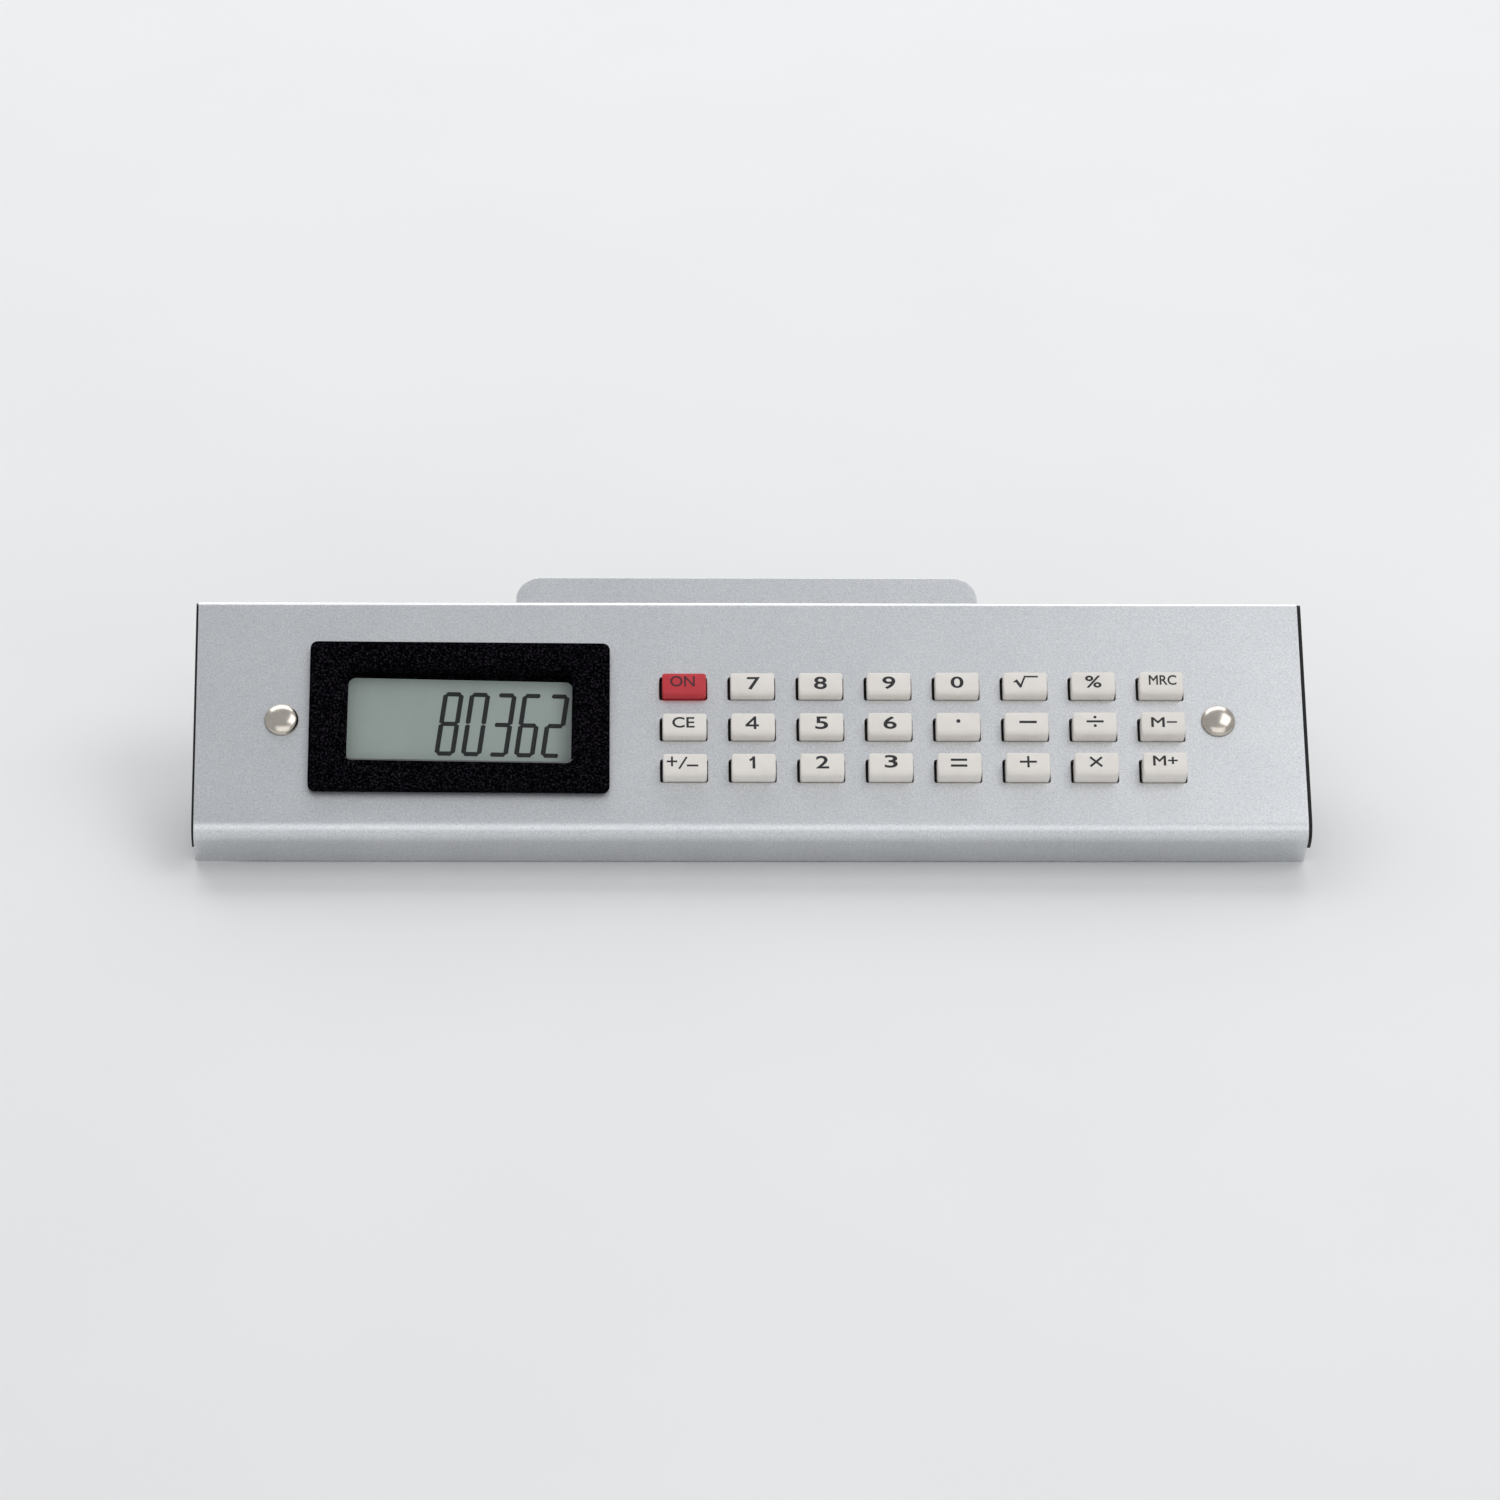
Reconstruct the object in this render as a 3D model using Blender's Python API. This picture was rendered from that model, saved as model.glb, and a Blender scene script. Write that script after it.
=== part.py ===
"""Desk calculator folded into the sprung aluminium jaw of a form holder.

The calculator lies under a folded aluminium cover, 180 mm wide, whose face leans back 33 degrees.
Two dome rivets hold cover, tray and clamp plate together. The clamp plate turns on a hinge pin in
a base bracket, so that the cover's front lip lifts off the board when the rear tab is pressed.

World frame: +X to the user's right, +Y away from the user, +Z up. The origin lies on the board's
plane, straight below the middle of the hinge pin.
Pieces of the calculator are modelled in the face frame instead: x as before, y up along the face
from the theoretical front corner, z out of the face, with 0 at the face's outer surface.
"""

import math

import bmesh
import bpy
from mathutils import Vector

MM = 0.001

# The folded cover
FACE_TILT = math.radians(33)
COVER_WIDTH = 180 * MM
FACE_LENGTH = 42.9 * MM
LIP_HEIGHT = 9.7 * MM
SHEET = 1.0 * MM
FRONT_BEND = 2.75 * MM
REAR_BEND = 1.2 * MM
REAR_FLANGE = 8.4 * MM

# The hinge pin, in the face frame
PIN_Y = 31 * MM
PIN_DEPTH = 14.6 * MM
PIN_RADIUS = 1.4 * MM
PIN_HOLE_RADIUS = 1.7 * MM
PIN_REACH = 40.2 * MM
PIN_HEAD_RADIUS = 2.4 * MM
PIN_HEAD_THICKNESS = 1.0 * MM
CLIP_RADIUS = 2.7 * MM
CLIP_INNER_FACE = 38.5 * MM
CLIP_OUTER_FACE = 39.1 * MM

# Rivets through cover, spacers, tray and clamp plate
RIVET_X = 76.1 * MM
RIVET_Y = 20.7 * MM
RIVET_HEAD_RADIUS = 2.8 * MM
RIVET_HEAD_HEIGHT = 1.2 * MM
RIVET_SHANK_RADIUS = 1.2 * MM
RIVET_HOLE_RADIUS = 1.5 * MM
RIVET_TAIL_RADIUS = 2.0 * MM
RIVET_TAIL_BOTTOM = -12 * MM
SPACER_RADIUS = 2.2 * MM

# Keys: 8 columns from the left and 3 rows from the rear
KEY_ROWS = (
    ("on", "7", "8", "9", "0", "root", "percent", "mrc"),
    ("ce", "4", "5", "6", "point", "minus", "divide", "m_minus"),
    ("sign", "1", "2", "3", "equals", "plus", "multiply", "m_plus"),
)
KEY_FIRST_X = -11.04 * MM
KEY_FIRST_Y = 26.57 * MM
KEY_PITCH_X = 11.1 * MM
KEY_PITCH_Y = 7.5 * MM
KEY_WIDTH = 7.1 * MM
KEY_DEPTH = 3.85 * MM
KEY_SIDESTEP = 0.2 * MM
KEY_HOLE_WIDTH = 7.85 * MM
KEY_HOLE_DEPTH = 4.2 * MM
KEY_CORNER = 0.45 * MM
KEY_FLANGE_WIDTH = 8.6 * MM
KEY_FLANGE_DEPTH = 5.4 * MM
KEY_PLUNGER_WIDTH = 2.4 * MM
# The cap's sections from its flange up: setback at the front, at the other sides, and below the top
KEY_CAP_STEPS = (
    (0, 0, 0.85 * MM),
    (0.12 * MM, 0.02 * MM, 0.4 * MM),
    (0.4 * MM, 0.12 * MM, 0.12 * MM),
    (0.75 * MM, 0.35 * MM, 0),
)
KEY_PROUD = 1.8 * MM
KEY_RISE_PER_ROW = 0.3 * MM
KEY_RISE_PER_COLUMN = 0.1 * MM

# Display bezel and what lies under it
DISPLAY_X = -47.3 * MM
DISPLAY_Y = 20.9 * MM
BEZEL_WIDTH = 48.7 * MM
BEZEL_DEPTH = 26.7 * MM
BEZEL_PROUD = 1.8 * MM
BEZEL_LEAN = math.radians(-0.4)
BEZEL_CORNER = 1.2 * MM
BEZEL_HOLE_WIDTH = 41.6 * MM
BEZEL_HOLE_DEPTH = 22.6 * MM
SKIRT_WIDTH = 41 * MM
SKIRT_DEPTH = 22 * MM
WINDOW_WIDTH = 36.4 * MM
WINDOW_DEPTH = 17.4 * MM
WINDOW_LEAN = math.radians(-1.0)
REBATE_WIDTH = 38.8 * MM
REBATE_DEPTH = 19.8 * MM
LENS_PLAY = 0.2 * MM
LCD_HALF_WIDTH = 22 * MM
LCD_HALF_DEPTH = 11 * MM
LCD_LEDGE = 8 * MM
LCD_LEAN = math.radians(-1.3)

# Heights inside the calculator, measured from the face's outer surface
KEY_FLANGE_TOP = -1.3 * MM
KEY_FLANGE_BOTTOM = -2.1 * MM
KEY_PLUNGER_BOTTOM = -2.5 * MM
SKIRT_BOTTOM = -1.9 * MM
REBATE_TOP = -0.9 * MM
LENS_TOP = -1.0 * MM
LENS_BOTTOM = -1.75 * MM
LCD_TOP = -2.2 * MM
LCD_SPLIT = -3.2 * MM
LCD_BOTTOM = -4.2 * MM
DOME_TOP = -2.8 * MM
MAT_TOP = -4.9 * MM
BOARD_TOP = -5.6 * MM
BOARD_BOTTOM = -6.6 * MM
FLOOR_TOP = -8.6 * MM
FLOOR_BOTTOM = -9.6 * MM
CLAMP_TOP = -9.8 * MM
CLAMP_BOTTOM = -11.0 * MM

# The moulded tray
TRAY_WALL = 1.2 * MM
TRAY_TOP = -SHEET - 0.2 * MM
TRAY_FRONT = 1.3 * MM
TRAY_REAR = 41.6 * MM
END_WALL_REACH = 90.45 * MM
END_WALL_SIDESTEP = 0.12 * MM
END_WALL_INSET = 0.2 * MM
END_WALL_REAR = FACE_LENGTH - 0.25 * MM
BOSS_RADIUS = 2.0 * MM
SCREW_HOLE_RADIUS = 1.0 * MM
# How far a joined block sinks into the floor under it, so that no faces lie on each other
OVERLAP = 0.5 * MM

# Battery cell and its sliding door
CELL_X = -56 * MM
CELL_Y = 33.6 * MM
CELL_RADIUS = 5.8 * MM
CELL_BOTTOM = -8.6 * MM
CELL_TOP = -6.5 * MM
DOOR_HALF_WIDTH = 8.5 * MM
DOOR_TONGUE_HALF_WIDTH = 9.1 * MM
DOOR_TONGUE_BOTTOM = -9.2 * MM
DOOR_TONGUE_TOP = -8.75 * MM
DOOR_FRONT = 27.3 * MM
RUNWAY_FRONT = 27 * MM
RUNWAY_REAR = 44 * MM
RUNWAY_PLAY = 0.3 * MM
CELL_BLOCK_HALF_WIDTH = 11 * MM
CELL_BLOCK_FRONT = 25.6 * MM
CELL_BLOCK_REAR = 41 * MM
CELL_BLOCK_TOP = -6.9 * MM
CONTACT_THICKNESS = 0.25 * MM
CONTACT_HALF_WIDTH = 1.5 * MM

# Board and keypad mat
BOARD_LEFT = -72 * MM
BOARD_RIGHT = 72.5 * MM
BOARD_FRONT = 3.5 * MM
BOARD_REAR = 40 * MM
MAT_LEFT = -17 * MM
MAT_RIGHT = 72.3 * MM
MAT_FRONT = 7.2 * MM
MAT_REAR = 31 * MM
DOME_BASE_RADIUS = 2.3 * MM
DOME_TOP_RADIUS = 1.6 * MM
DOME_SIDES = 10
CHIP_PLACE = (28 * MM, 20 * MM, 0)
CAPACITOR_PLACE = (-8 * MM, 20 * MM, 0)
RESISTOR_PLACE = (3 * MM, 20 * MM, 0)

# Clamp plate, with the thumb tab at its rear
TONGUE_HALF_WIDTH = 38.1 * MM
TAB_REAR = 52.4 * MM
TAB_CORNER = 4.0 * MM
JAW_HALF_WIDTH = 83 * MM
JAW_FRONT = 3.2 * MM
JAW_REAR = 26.5 * MM
PLATE = 1.2 * MM
EAR_HALF_WIDTH = 3.2 * MM
EAR_FILLET = 3 * MM

# Base bracket
BRACKET_HALF_WIDTH = 36.4 * MM
BRACKET_FRONT = -18 * MM
BRACKET_REAR = 18 * MM
BRACKET_EAR_TOP = 2.8 * MM
BRACKET_EAR_FOOT = 8 * MM
BRACKET_HOLE_X = 26 * MM
BRACKET_HOLE_Y = 12 * MM
BRACKET_HOLE_RADIUS = 2.1 * MM

# Torsion springs
SPRING_X = 17 * MM
SPRING_WIRE_RADIUS = 0.5 * MM
SPRING_MEAN_RADIUS = 2.5 * MM
SPRING_TURNS = 5
SPRING_PITCH = 1.35 * MM
SPRING_LEG = 15 * MM
SPRING_FOOT_REACH = 14 * MM
SPRING_POINTS_PER_TURN = 14

# Board screws
SCREW_PLACES = (
    (-20 * MM, 5 * MM),
    (-20 * MM, 36.5 * MM),
    (68 * MM, 5 * MM),
    (68 * MM, 36.5 * MM),
)

GAP = 0.1 * MM
# How far a cutting tool stands clear of what it cuts
CLEAR = 1 * MM

PIN_HEIGHT = (
    LIP_HEIGHT * math.cos(FACE_TILT)
    + PIN_Y * math.sin(FACE_TILT)
    - PIN_DEPTH * math.cos(FACE_TILT)
)
FRONT_CORNER = Vector(
    (
        0,
        -PIN_Y * math.cos(FACE_TILT) - PIN_DEPTH * math.sin(FACE_TILT),
        LIP_HEIGHT * math.cos(FACE_TILT),
    )
)

FINISHES = {
    "satin_aluminium": ((0.68, 0.69, 0.71), 0.38, 0.9),
    "nickel": ((0.72, 0.70, 0.64), 0.18, 1.0),
    "zinc_steel": ((0.60, 0.61, 0.62), 0.30, 1.0),
    "spring_steel": ((0.42, 0.42, 0.43), 0.28, 1.0),
    "black_plastic": ((0.012, 0.012, 0.013), 0.55, 0.0),
    "key_plastic": ((0.80, 0.78, 0.72), 0.42, 0.0),
    "red_plastic": ((0.55, 0.015, 0.02), 0.42, 0.0),
    "clear_plastic": ((0.92, 0.95, 0.94), 0.05, 0.0),
    "lcd_glass": ((0.33, 0.36, 0.32), 0.18, 0.0),
    "reflector_film": ((0.62, 0.63, 0.60), 0.30, 0.4),
    "silicone_rubber": ((0.30, 0.31, 0.33), 0.70, 0.0),
    "board_laminate": ((0.05, 0.22, 0.09), 0.45, 0.0),
    "epoxy": ((0.015, 0.015, 0.016), 0.35, 0.0),
    "ceramic": ((0.50, 0.36, 0.22), 0.50, 0.0),
}


def clear_scene():
    for old in list(bpy.data.objects):
        bpy.data.objects.remove(old, do_unlink=True)


def finish_material(finish):
    """The material of this finish, made on first use."""
    known = bpy.data.materials.get(finish)
    if known:
        return known
    colour, roughness, metallic = FINISHES[finish]
    material = bpy.data.materials.new(finish)
    material.use_nodes = True
    shader = material.node_tree.nodes["Principled BSDF"]
    shader.inputs["Base Color"].default_value = (*colour, 1)
    shader.inputs["Roughness"].default_value = roughness
    shader.inputs["Metallic"].default_value = metallic
    return material


def add_piece(name, shape, parent=None, finish=None, location=(0, 0, 0), smooth=False):
    """Turn a finished bmesh into a named object."""
    bmesh.ops.recalc_face_normals(shape, faces=shape.faces[:])
    if shape.calc_volume(signed=True) < 0:
        bmesh.ops.reverse_faces(shape, faces=shape.faces[:])
    mesh = bpy.data.meshes.new(name)
    shape.to_mesh(mesh)
    shape.free()
    if smooth:
        mesh.shade_smooth()
        mesh.set_sharp_from_angle(angle=math.radians(35))
    piece = bpy.data.objects.new(name, mesh)
    piece.parent = parent
    piece.location = location
    bpy.context.scene.collection.objects.link(piece)
    if finish:
        mesh.materials.append(finish_material(finish))
    return piece


def change_shape(piece, tool, operation):
    """Cut a tool away from a piece, or join it on. The tool itself isn't part of the object."""
    modifier = piece.modifiers.new(tool.name, "BOOLEAN")
    modifier.operation = operation
    modifier.solver = "EXACT"
    modifier.object = tool
    tool.hide_render = True
    tool.display_type = "WIRE"


def cut(piece, tool):
    change_shape(piece, tool, "DIFFERENCE")


def join_on(piece, tool):
    change_shape(piece, tool, "UNION")


def rounded_outline(corners, steps=4):
    """Points round an outline given as (a, b, radius) corners, with each corner's arc."""
    points = []
    for index, (a, b, radius) in enumerate(corners):
        corner = Vector((a, b))
        if radius == 0:
            points.append(corner)
            continue
        before = Vector(corners[index - 1][:2]) - corner
        after = Vector(corners[(index + 1) % len(corners)][:2]) - corner
        half_angle = before.angle(after) / 2
        middle = (before.normalized() + after.normalized()).normalized()
        centre = corner + middle * radius / math.sin(half_angle)
        start = corner + before.normalized() * radius / math.tan(half_angle) - centre
        end = corner + after.normalized() * radius / math.tan(half_angle) - centre
        sweep = math.atan2(start.x * end.y - start.y * end.x, start.dot(end))
        for step in range(steps + 1):
            turn = sweep * step / steps
            points.append(
                centre
                + Vector(
                    (
                        start.x * math.cos(turn) - start.y * math.sin(turn),
                        start.x * math.sin(turn) + start.y * math.cos(turn),
                    )
                )
            )
    return points


def rectangle(x_low, x_high, y_low, y_high, radius=0.0):
    return [
        (x_low, y_low, radius),
        (x_high, y_low, radius),
        (x_high, y_high, radius),
        (x_low, y_high, radius),
    ]


def add_prism(shape, outline, low, high, along="z"):
    """Extrude an outline of (x, y) points along z, of (y, z) along x, or of (x, z) along y."""
    if along == "x":
        foot = [shape.verts.new((low, a, b)) for a, b in outline]
        travel = Vector((high - low, 0, 0))
    elif along == "y":
        foot = [shape.verts.new((a, low, b)) for a, b in outline]
        travel = Vector((0, high - low, 0))
    else:
        foot = [shape.verts.new((a, b, low)) for a, b in outline]
        travel = Vector((0, 0, high - low))
    face = shape.faces.new(foot)
    result = bmesh.ops.extrude_face_region(shape, geom=[face])
    moved = [item for item in result["geom"] if isinstance(item, bmesh.types.BMVert)]
    bmesh.ops.translate(shape, verts=moved, vec=travel)


def prism(outline, low, high, along="z"):
    shape = bmesh.new()
    add_prism(shape, outline, low, high, along)
    return shape


def lofted(sections, steps=3):
    """A closed stack of rounded rectangles, each given as its outline corners and its height."""
    shape = bmesh.new()
    rings = []
    for corners, height in sections:
        rings.append([shape.verts.new((a, b, height)) for a, b in rounded_outline(corners, steps)])
    add_walls(shape, rings)
    return shape


def add_walls(shape, rings):
    """Close a stack of rings that have the same number of points into one shell."""
    for lower, upper in zip(rings, rings[1:]):
        for i in range(len(lower)):
            shape.faces.new((lower[i - 1], lower[i], upper[i], upper[i - 1]))
    shape.faces.new(rings[0])
    shape.faces.new(rings[-1])


def centred(width, depth, radius):
    return rectangle(-width / 2, width / 2, -depth / 2, depth / 2, radius)


def turned(profile, steps, axis="z"):
    """Spin a profile of (radius, height) points, which starts and ends on the axis or closes."""
    shape = bmesh.new()
    if axis == "x":
        points = [shape.verts.new((height, radius, 0)) for radius, height in profile]
        spin_axis = Vector((1, 0, 0))
    else:
        points = [shape.verts.new((radius, 0, height)) for radius, height in profile]
        spin_axis = Vector((0, 0, 1))
    edges = [shape.edges.new(pair) for pair in zip(points, points[1:])]
    bmesh.ops.spin(
        shape,
        geom=points + edges,
        cent=(0, 0, 0),
        axis=spin_axis,
        angle=math.tau,
        steps=steps,
        use_merge=True,
    )
    bmesh.ops.remove_doubles(shape, verts=shape.verts[:], dist=0.001 * MM)
    return shape


def washer_profile(inner, outer, low, high):
    return [(inner, low), (outer, low), (outer, high), (inner, high), (inner, low)]


def key_places():
    """Each key's name, hole centre and height above the face."""
    for row, names in enumerate(KEY_ROWS):
        for column, name in enumerate(names):
            x = KEY_FIRST_X + column * KEY_PITCH_X
            y = KEY_FIRST_Y - row * KEY_PITCH_Y
            proud = KEY_PROUD + row * KEY_RISE_PER_ROW + column * KEY_RISE_PER_COLUMN
            yield name, x, y, proud


def make_face_frame():
    face_frame = bpy.data.objects.new("face_frame", None)
    face_frame.location = FRONT_CORNER
    face_frame.rotation_euler = (FACE_TILT, 0, 0)
    bpy.context.scene.collection.objects.link(face_frame)
    return face_frame


def cover_outline():
    """The folded sheet's section: the outer surface, then back along the inner one."""
    outer = [
        (0, -LIP_HEIGHT, 0),
        (0, 0, FRONT_BEND),
        (FACE_LENGTH, 0, REAR_BEND),
        (FACE_LENGTH, -REAR_FLANGE, 0),
    ]
    inner = [
        (FACE_LENGTH - SHEET, -REAR_FLANGE, 0),
        (FACE_LENGTH - SHEET, -SHEET, REAR_BEND - SHEET),
        (SHEET, -SHEET, FRONT_BEND - SHEET),
        (SHEET, -LIP_HEIGHT, 0),
    ]
    return rounded_outline(outer + inner, steps=6)


def make_cover(face_frame):
    section = cover_outline()
    shape = prism(section, -COVER_WIDTH / 2, COVER_WIDTH / 2, along="x")
    cover = add_piece("housing_cover", shape, face_frame, "satin_aluminium", smooth=True)

    holes = bmesh.new()
    for _, x, y, _ in key_places():
        corners = [
            (x + a, y + b, radius)
            for a, b, radius in centred(KEY_HOLE_WIDTH, KEY_HOLE_DEPTH, 0.4 * MM)
        ]
        add_prism(holes, rounded_outline(corners, steps=2), -SHEET - CLEAR, CLEAR)
    cut(cover, add_piece("key_hole_tool", holes, face_frame))

    opening = rounded_outline(centred(BEZEL_HOLE_WIDTH, BEZEL_HOLE_DEPTH, 0.6 * MM))
    opening_tool = add_piece("bezel_hole_tool", prism(opening, -SHEET - CLEAR, CLEAR), face_frame)
    opening_tool.location = (DISPLAY_X, DISPLAY_Y, 0)
    opening_tool.rotation_euler = (0, 0, BEZEL_LEAN)
    cut(cover, opening_tool)
    cut(cover, rivet_hole_tool("cover_rivet_holes", -SHEET - CLEAR, CLEAR, face_frame))


def add_cylinder(shape, x, y, radius, low, high, sides=16):
    ring = [
        (
            x + radius * math.cos(math.tau * side / sides),
            y + radius * math.sin(math.tau * side / sides),
        )
        for side in range(sides)
    ]
    add_prism(shape, ring, low, high)


def rivet_hole_tool(name, low, high, face_frame):
    holes = bmesh.new()
    for side in (-1, 1):
        add_cylinder(holes, side * RIVET_X, RIVET_Y, RIVET_HOLE_RADIUS, low, high)
    return add_piece(name, holes, face_frame)


def pin_bore_tool(name, parent, location):
    """A drill along X, long enough for both ears of a plate."""
    reach = PIN_REACH + 5 * MM
    profile = [(0, -reach), (PIN_HOLE_RADIUS, -reach), (PIN_HOLE_RADIUS, reach), (0, reach)]
    return add_piece(name, turned(profile, 20, "x"), parent, location=location)


def make_tray(face_frame):
    """The tray: floor, walls, and end walls that show past the ends of the cover."""
    inside_end = COVER_WIDTH / 2 - GAP
    section = rounded_outline(
        [
            (TRAY_FRONT, FLOOR_BOTTOM, 0),
            (TRAY_REAR, FLOOR_BOTTOM, 0),
            (TRAY_REAR, TRAY_TOP, 0.3 * MM),
            (TRAY_FRONT, TRAY_TOP, FRONT_BEND - SHEET),
        ]
    )
    body = prism(section, -inside_end, inside_end, along="x")
    tray = add_piece("rear_tray", body, face_frame, "black_plastic")

    cavity_end = inside_end - TRAY_WALL
    cavity_outline = rectangle(
        -cavity_end, cavity_end, TRAY_FRONT + TRAY_WALL, TRAY_REAR - TRAY_WALL, 0.8 * MM
    )
    cavity = prism(rounded_outline(cavity_outline), FLOOR_TOP, CLEAR)
    cut(tray, add_piece("tray_cavity", cavity, face_frame))

    ends = bmesh.new()
    end_section = rounded_outline(
        [
            (END_WALL_INSET, -6.8 * MM, 2.5 * MM),
            (END_WALL_REAR, -REAR_FLANGE, 0.8 * MM),
            (END_WALL_REAR, -END_WALL_INSET, 1.0 * MM),
            (END_WALL_INSET, -END_WALL_INSET, FRONT_BEND),
        ],
        steps=5,
    )
    for side in (-1, 1):
        outer = side * END_WALL_REACH + END_WALL_SIDESTEP
        inner = side * (COVER_WIDTH / 2 + GAP)
        add_prism(ends, end_section, min(inner, outer), max(inner, outer), along="x")
    join_on(tray, add_piece("tray_end_faces", ends, face_frame))

    # A plug at each end carries the outer face past the end of the cover.
    plugs = bmesh.new()
    plug_section = rounded_outline(
        rectangle(TRAY_FRONT + 1 * MM, TRAY_REAR - 1 * MM, -6 * MM, TRAY_TOP - 1 * MM)
    )
    for side in (-1, 1):
        outer = side * (END_WALL_REACH - 0.2 * MM)
        inner = side * (inside_end - 0.8 * MM)
        add_prism(plugs, plug_section, min(inner, outer), max(inner, outer), along="x")
    join_on(tray, add_piece("tray_end_plugs", plugs, face_frame))

    bosses = bmesh.new()
    for x, y in SCREW_PLACES:
        add_cylinder(bosses, x, y, BOSS_RADIUS, FLOOR_TOP - OVERLAP, BOARD_BOTTOM - GAP)
    join_on(tray, add_piece("tray_bosses", bosses, face_frame))
    block_outline = rectangle(
        CELL_X - CELL_BLOCK_HALF_WIDTH,
        CELL_X + CELL_BLOCK_HALF_WIDTH,
        CELL_BLOCK_FRONT,
        CELL_BLOCK_REAR,
    )
    block = prism(rounded_outline(block_outline), FLOOR_TOP - OVERLAP, CELL_BLOCK_TOP)
    join_on(tray, add_piece("cell_block", block, face_frame))

    holes = bmesh.new()
    for x, y in SCREW_PLACES:
        add_cylinder(holes, x, y, SCREW_HOLE_RADIUS, FLOOR_TOP + 0.3 * MM, 0, sides=10)
    add_cylinder(holes, CELL_X, CELL_Y, CELL_RADIUS + 0.3 * MM, -9 * MM, 0, sides=32)
    cut(tray, add_piece("tray_holes", holes, face_frame))

    contact_outline = rectangle(
        CELL_X - 6.8 * MM, CELL_X - 4 * MM, CELL_Y - 2 * MM, CELL_Y + 2 * MM
    )
    contact_slot = prism(rounded_outline(contact_outline), -8.55 * MM, 0)
    cut(tray, add_piece("contact_slot", contact_slot, face_frame))

    # The door's runway: a slot for its panel below, and a wider groove for its tongues above.
    for name, half_width, low, high in (
        ("door_slot", DOOR_HALF_WIDTH, FLOOR_BOTTOM - CLEAR, DOOR_TONGUE_BOTTOM + 0.2 * MM),
        (
            "door_groove",
            DOOR_TONGUE_HALF_WIDTH,
            DOOR_TONGUE_BOTTOM - GAP,
            DOOR_TONGUE_TOP + GAP,
        ),
    ):
        reach = half_width + RUNWAY_PLAY
        outline = rectangle(CELL_X - reach, CELL_X + reach, RUNWAY_FRONT, RUNWAY_REAR)
        cut(tray, add_piece(name, prism(rounded_outline(outline), low, high), face_frame))
    cut(tray, rivet_hole_tool("tray_rivet_holes", FLOOR_BOTTOM - CLEAR, FLOOR_TOP + CLEAR, face_frame))


def make_bezel(face_frame):
    skirt = centred(SKIRT_WIDTH, SKIRT_DEPTH, 0.5 * MM)
    sections = [(skirt, SKIRT_BOTTOM), (skirt, GAP)]
    for inset, height in (
        (0, GAP),
        (0, BEZEL_PROUD - 0.45 * MM),
        (0.18 * MM, BEZEL_PROUD - 0.14 * MM),
        (0.5 * MM, BEZEL_PROUD),
    ):
        outline = centred(BEZEL_WIDTH - 2 * inset, BEZEL_DEPTH - 2 * inset, BEZEL_CORNER)
        sections.append((outline, height))
    place = (DISPLAY_X, DISPLAY_Y, 0)
    bezel = add_piece("display_bezel", lofted(sections, 4), face_frame, "black_plastic", place)
    bezel.rotation_euler = (0, 0, BEZEL_LEAN)

    window = rounded_outline(centred(WINDOW_WIDTH, WINDOW_DEPTH, 0.5 * MM))
    window_prism = prism(window, SKIRT_BOTTOM - CLEAR, BEZEL_PROUD + CLEAR)
    window_tool = add_piece("window_tool", window_prism, face_frame, location=place)
    rebate = rounded_outline(centred(REBATE_WIDTH, REBATE_DEPTH, 0))
    rebate_prism = prism(rebate, SKIRT_BOTTOM - CLEAR, REBATE_TOP)
    rebate_tool = add_piece("lens_rebate", rebate_prism, face_frame, location=place)
    for tool in (window_tool, rebate_tool):
        tool.rotation_euler = (0, 0, WINDOW_LEAN)
        cut(bezel, tool)


def make_display(face_frame):
    place = (DISPLAY_X, DISPLAY_Y, 0)
    outline = centred(REBATE_WIDTH - 2 * LENS_PLAY, REBATE_DEPTH - 2 * LENS_PLAY, 0.3 * MM)
    lens = prism(rounded_outline(outline), LENS_BOTTOM, LENS_TOP)
    window = add_piece("display_window", lens, face_frame, "clear_plastic", place)
    window.rotation_euler = (0, 0, WINDOW_LEAN)

    # The upper glass is the deeper one: its rear ledge carries the contacts on its underside.
    edge = [
        (-LCD_HALF_DEPTH, LCD_BOTTOM),
        (LCD_LEDGE, LCD_BOTTOM),
        (LCD_LEDGE, LCD_SPLIT),
        (LCD_HALF_DEPTH, LCD_SPLIT),
        (LCD_HALF_DEPTH, LCD_TOP),
        (-LCD_HALF_DEPTH, LCD_TOP),
    ]
    cell = prism(edge, -LCD_HALF_WIDTH, LCD_HALF_WIDTH, along="x")
    glass = add_piece("lcd_glass", cell, face_frame, "lcd_glass", place)

    film = prism(
        rounded_outline(rectangle(-21 * MM, 21 * MM, -10 * MM, 7 * MM)),
        LCD_BOTTOM - 0.4 * MM,
        LCD_BOTTOM - GAP,
    )
    reflector = add_piece("lcd_reflector", film, face_frame, "reflector_film", place)

    strip = prism(
        rounded_outline(rectangle(-20 * MM, 20 * MM, 8.6 * MM, 10.4 * MM)),
        BOARD_TOP + GAP,
        LCD_SPLIT - GAP,
    )
    zebra = add_piece("zebra_strip", strip, face_frame, "silicone_rubber", place)
    for piece in (glass, reflector, zebra):
        piece.rotation_euler = (0, 0, LCD_LEAN)


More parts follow.
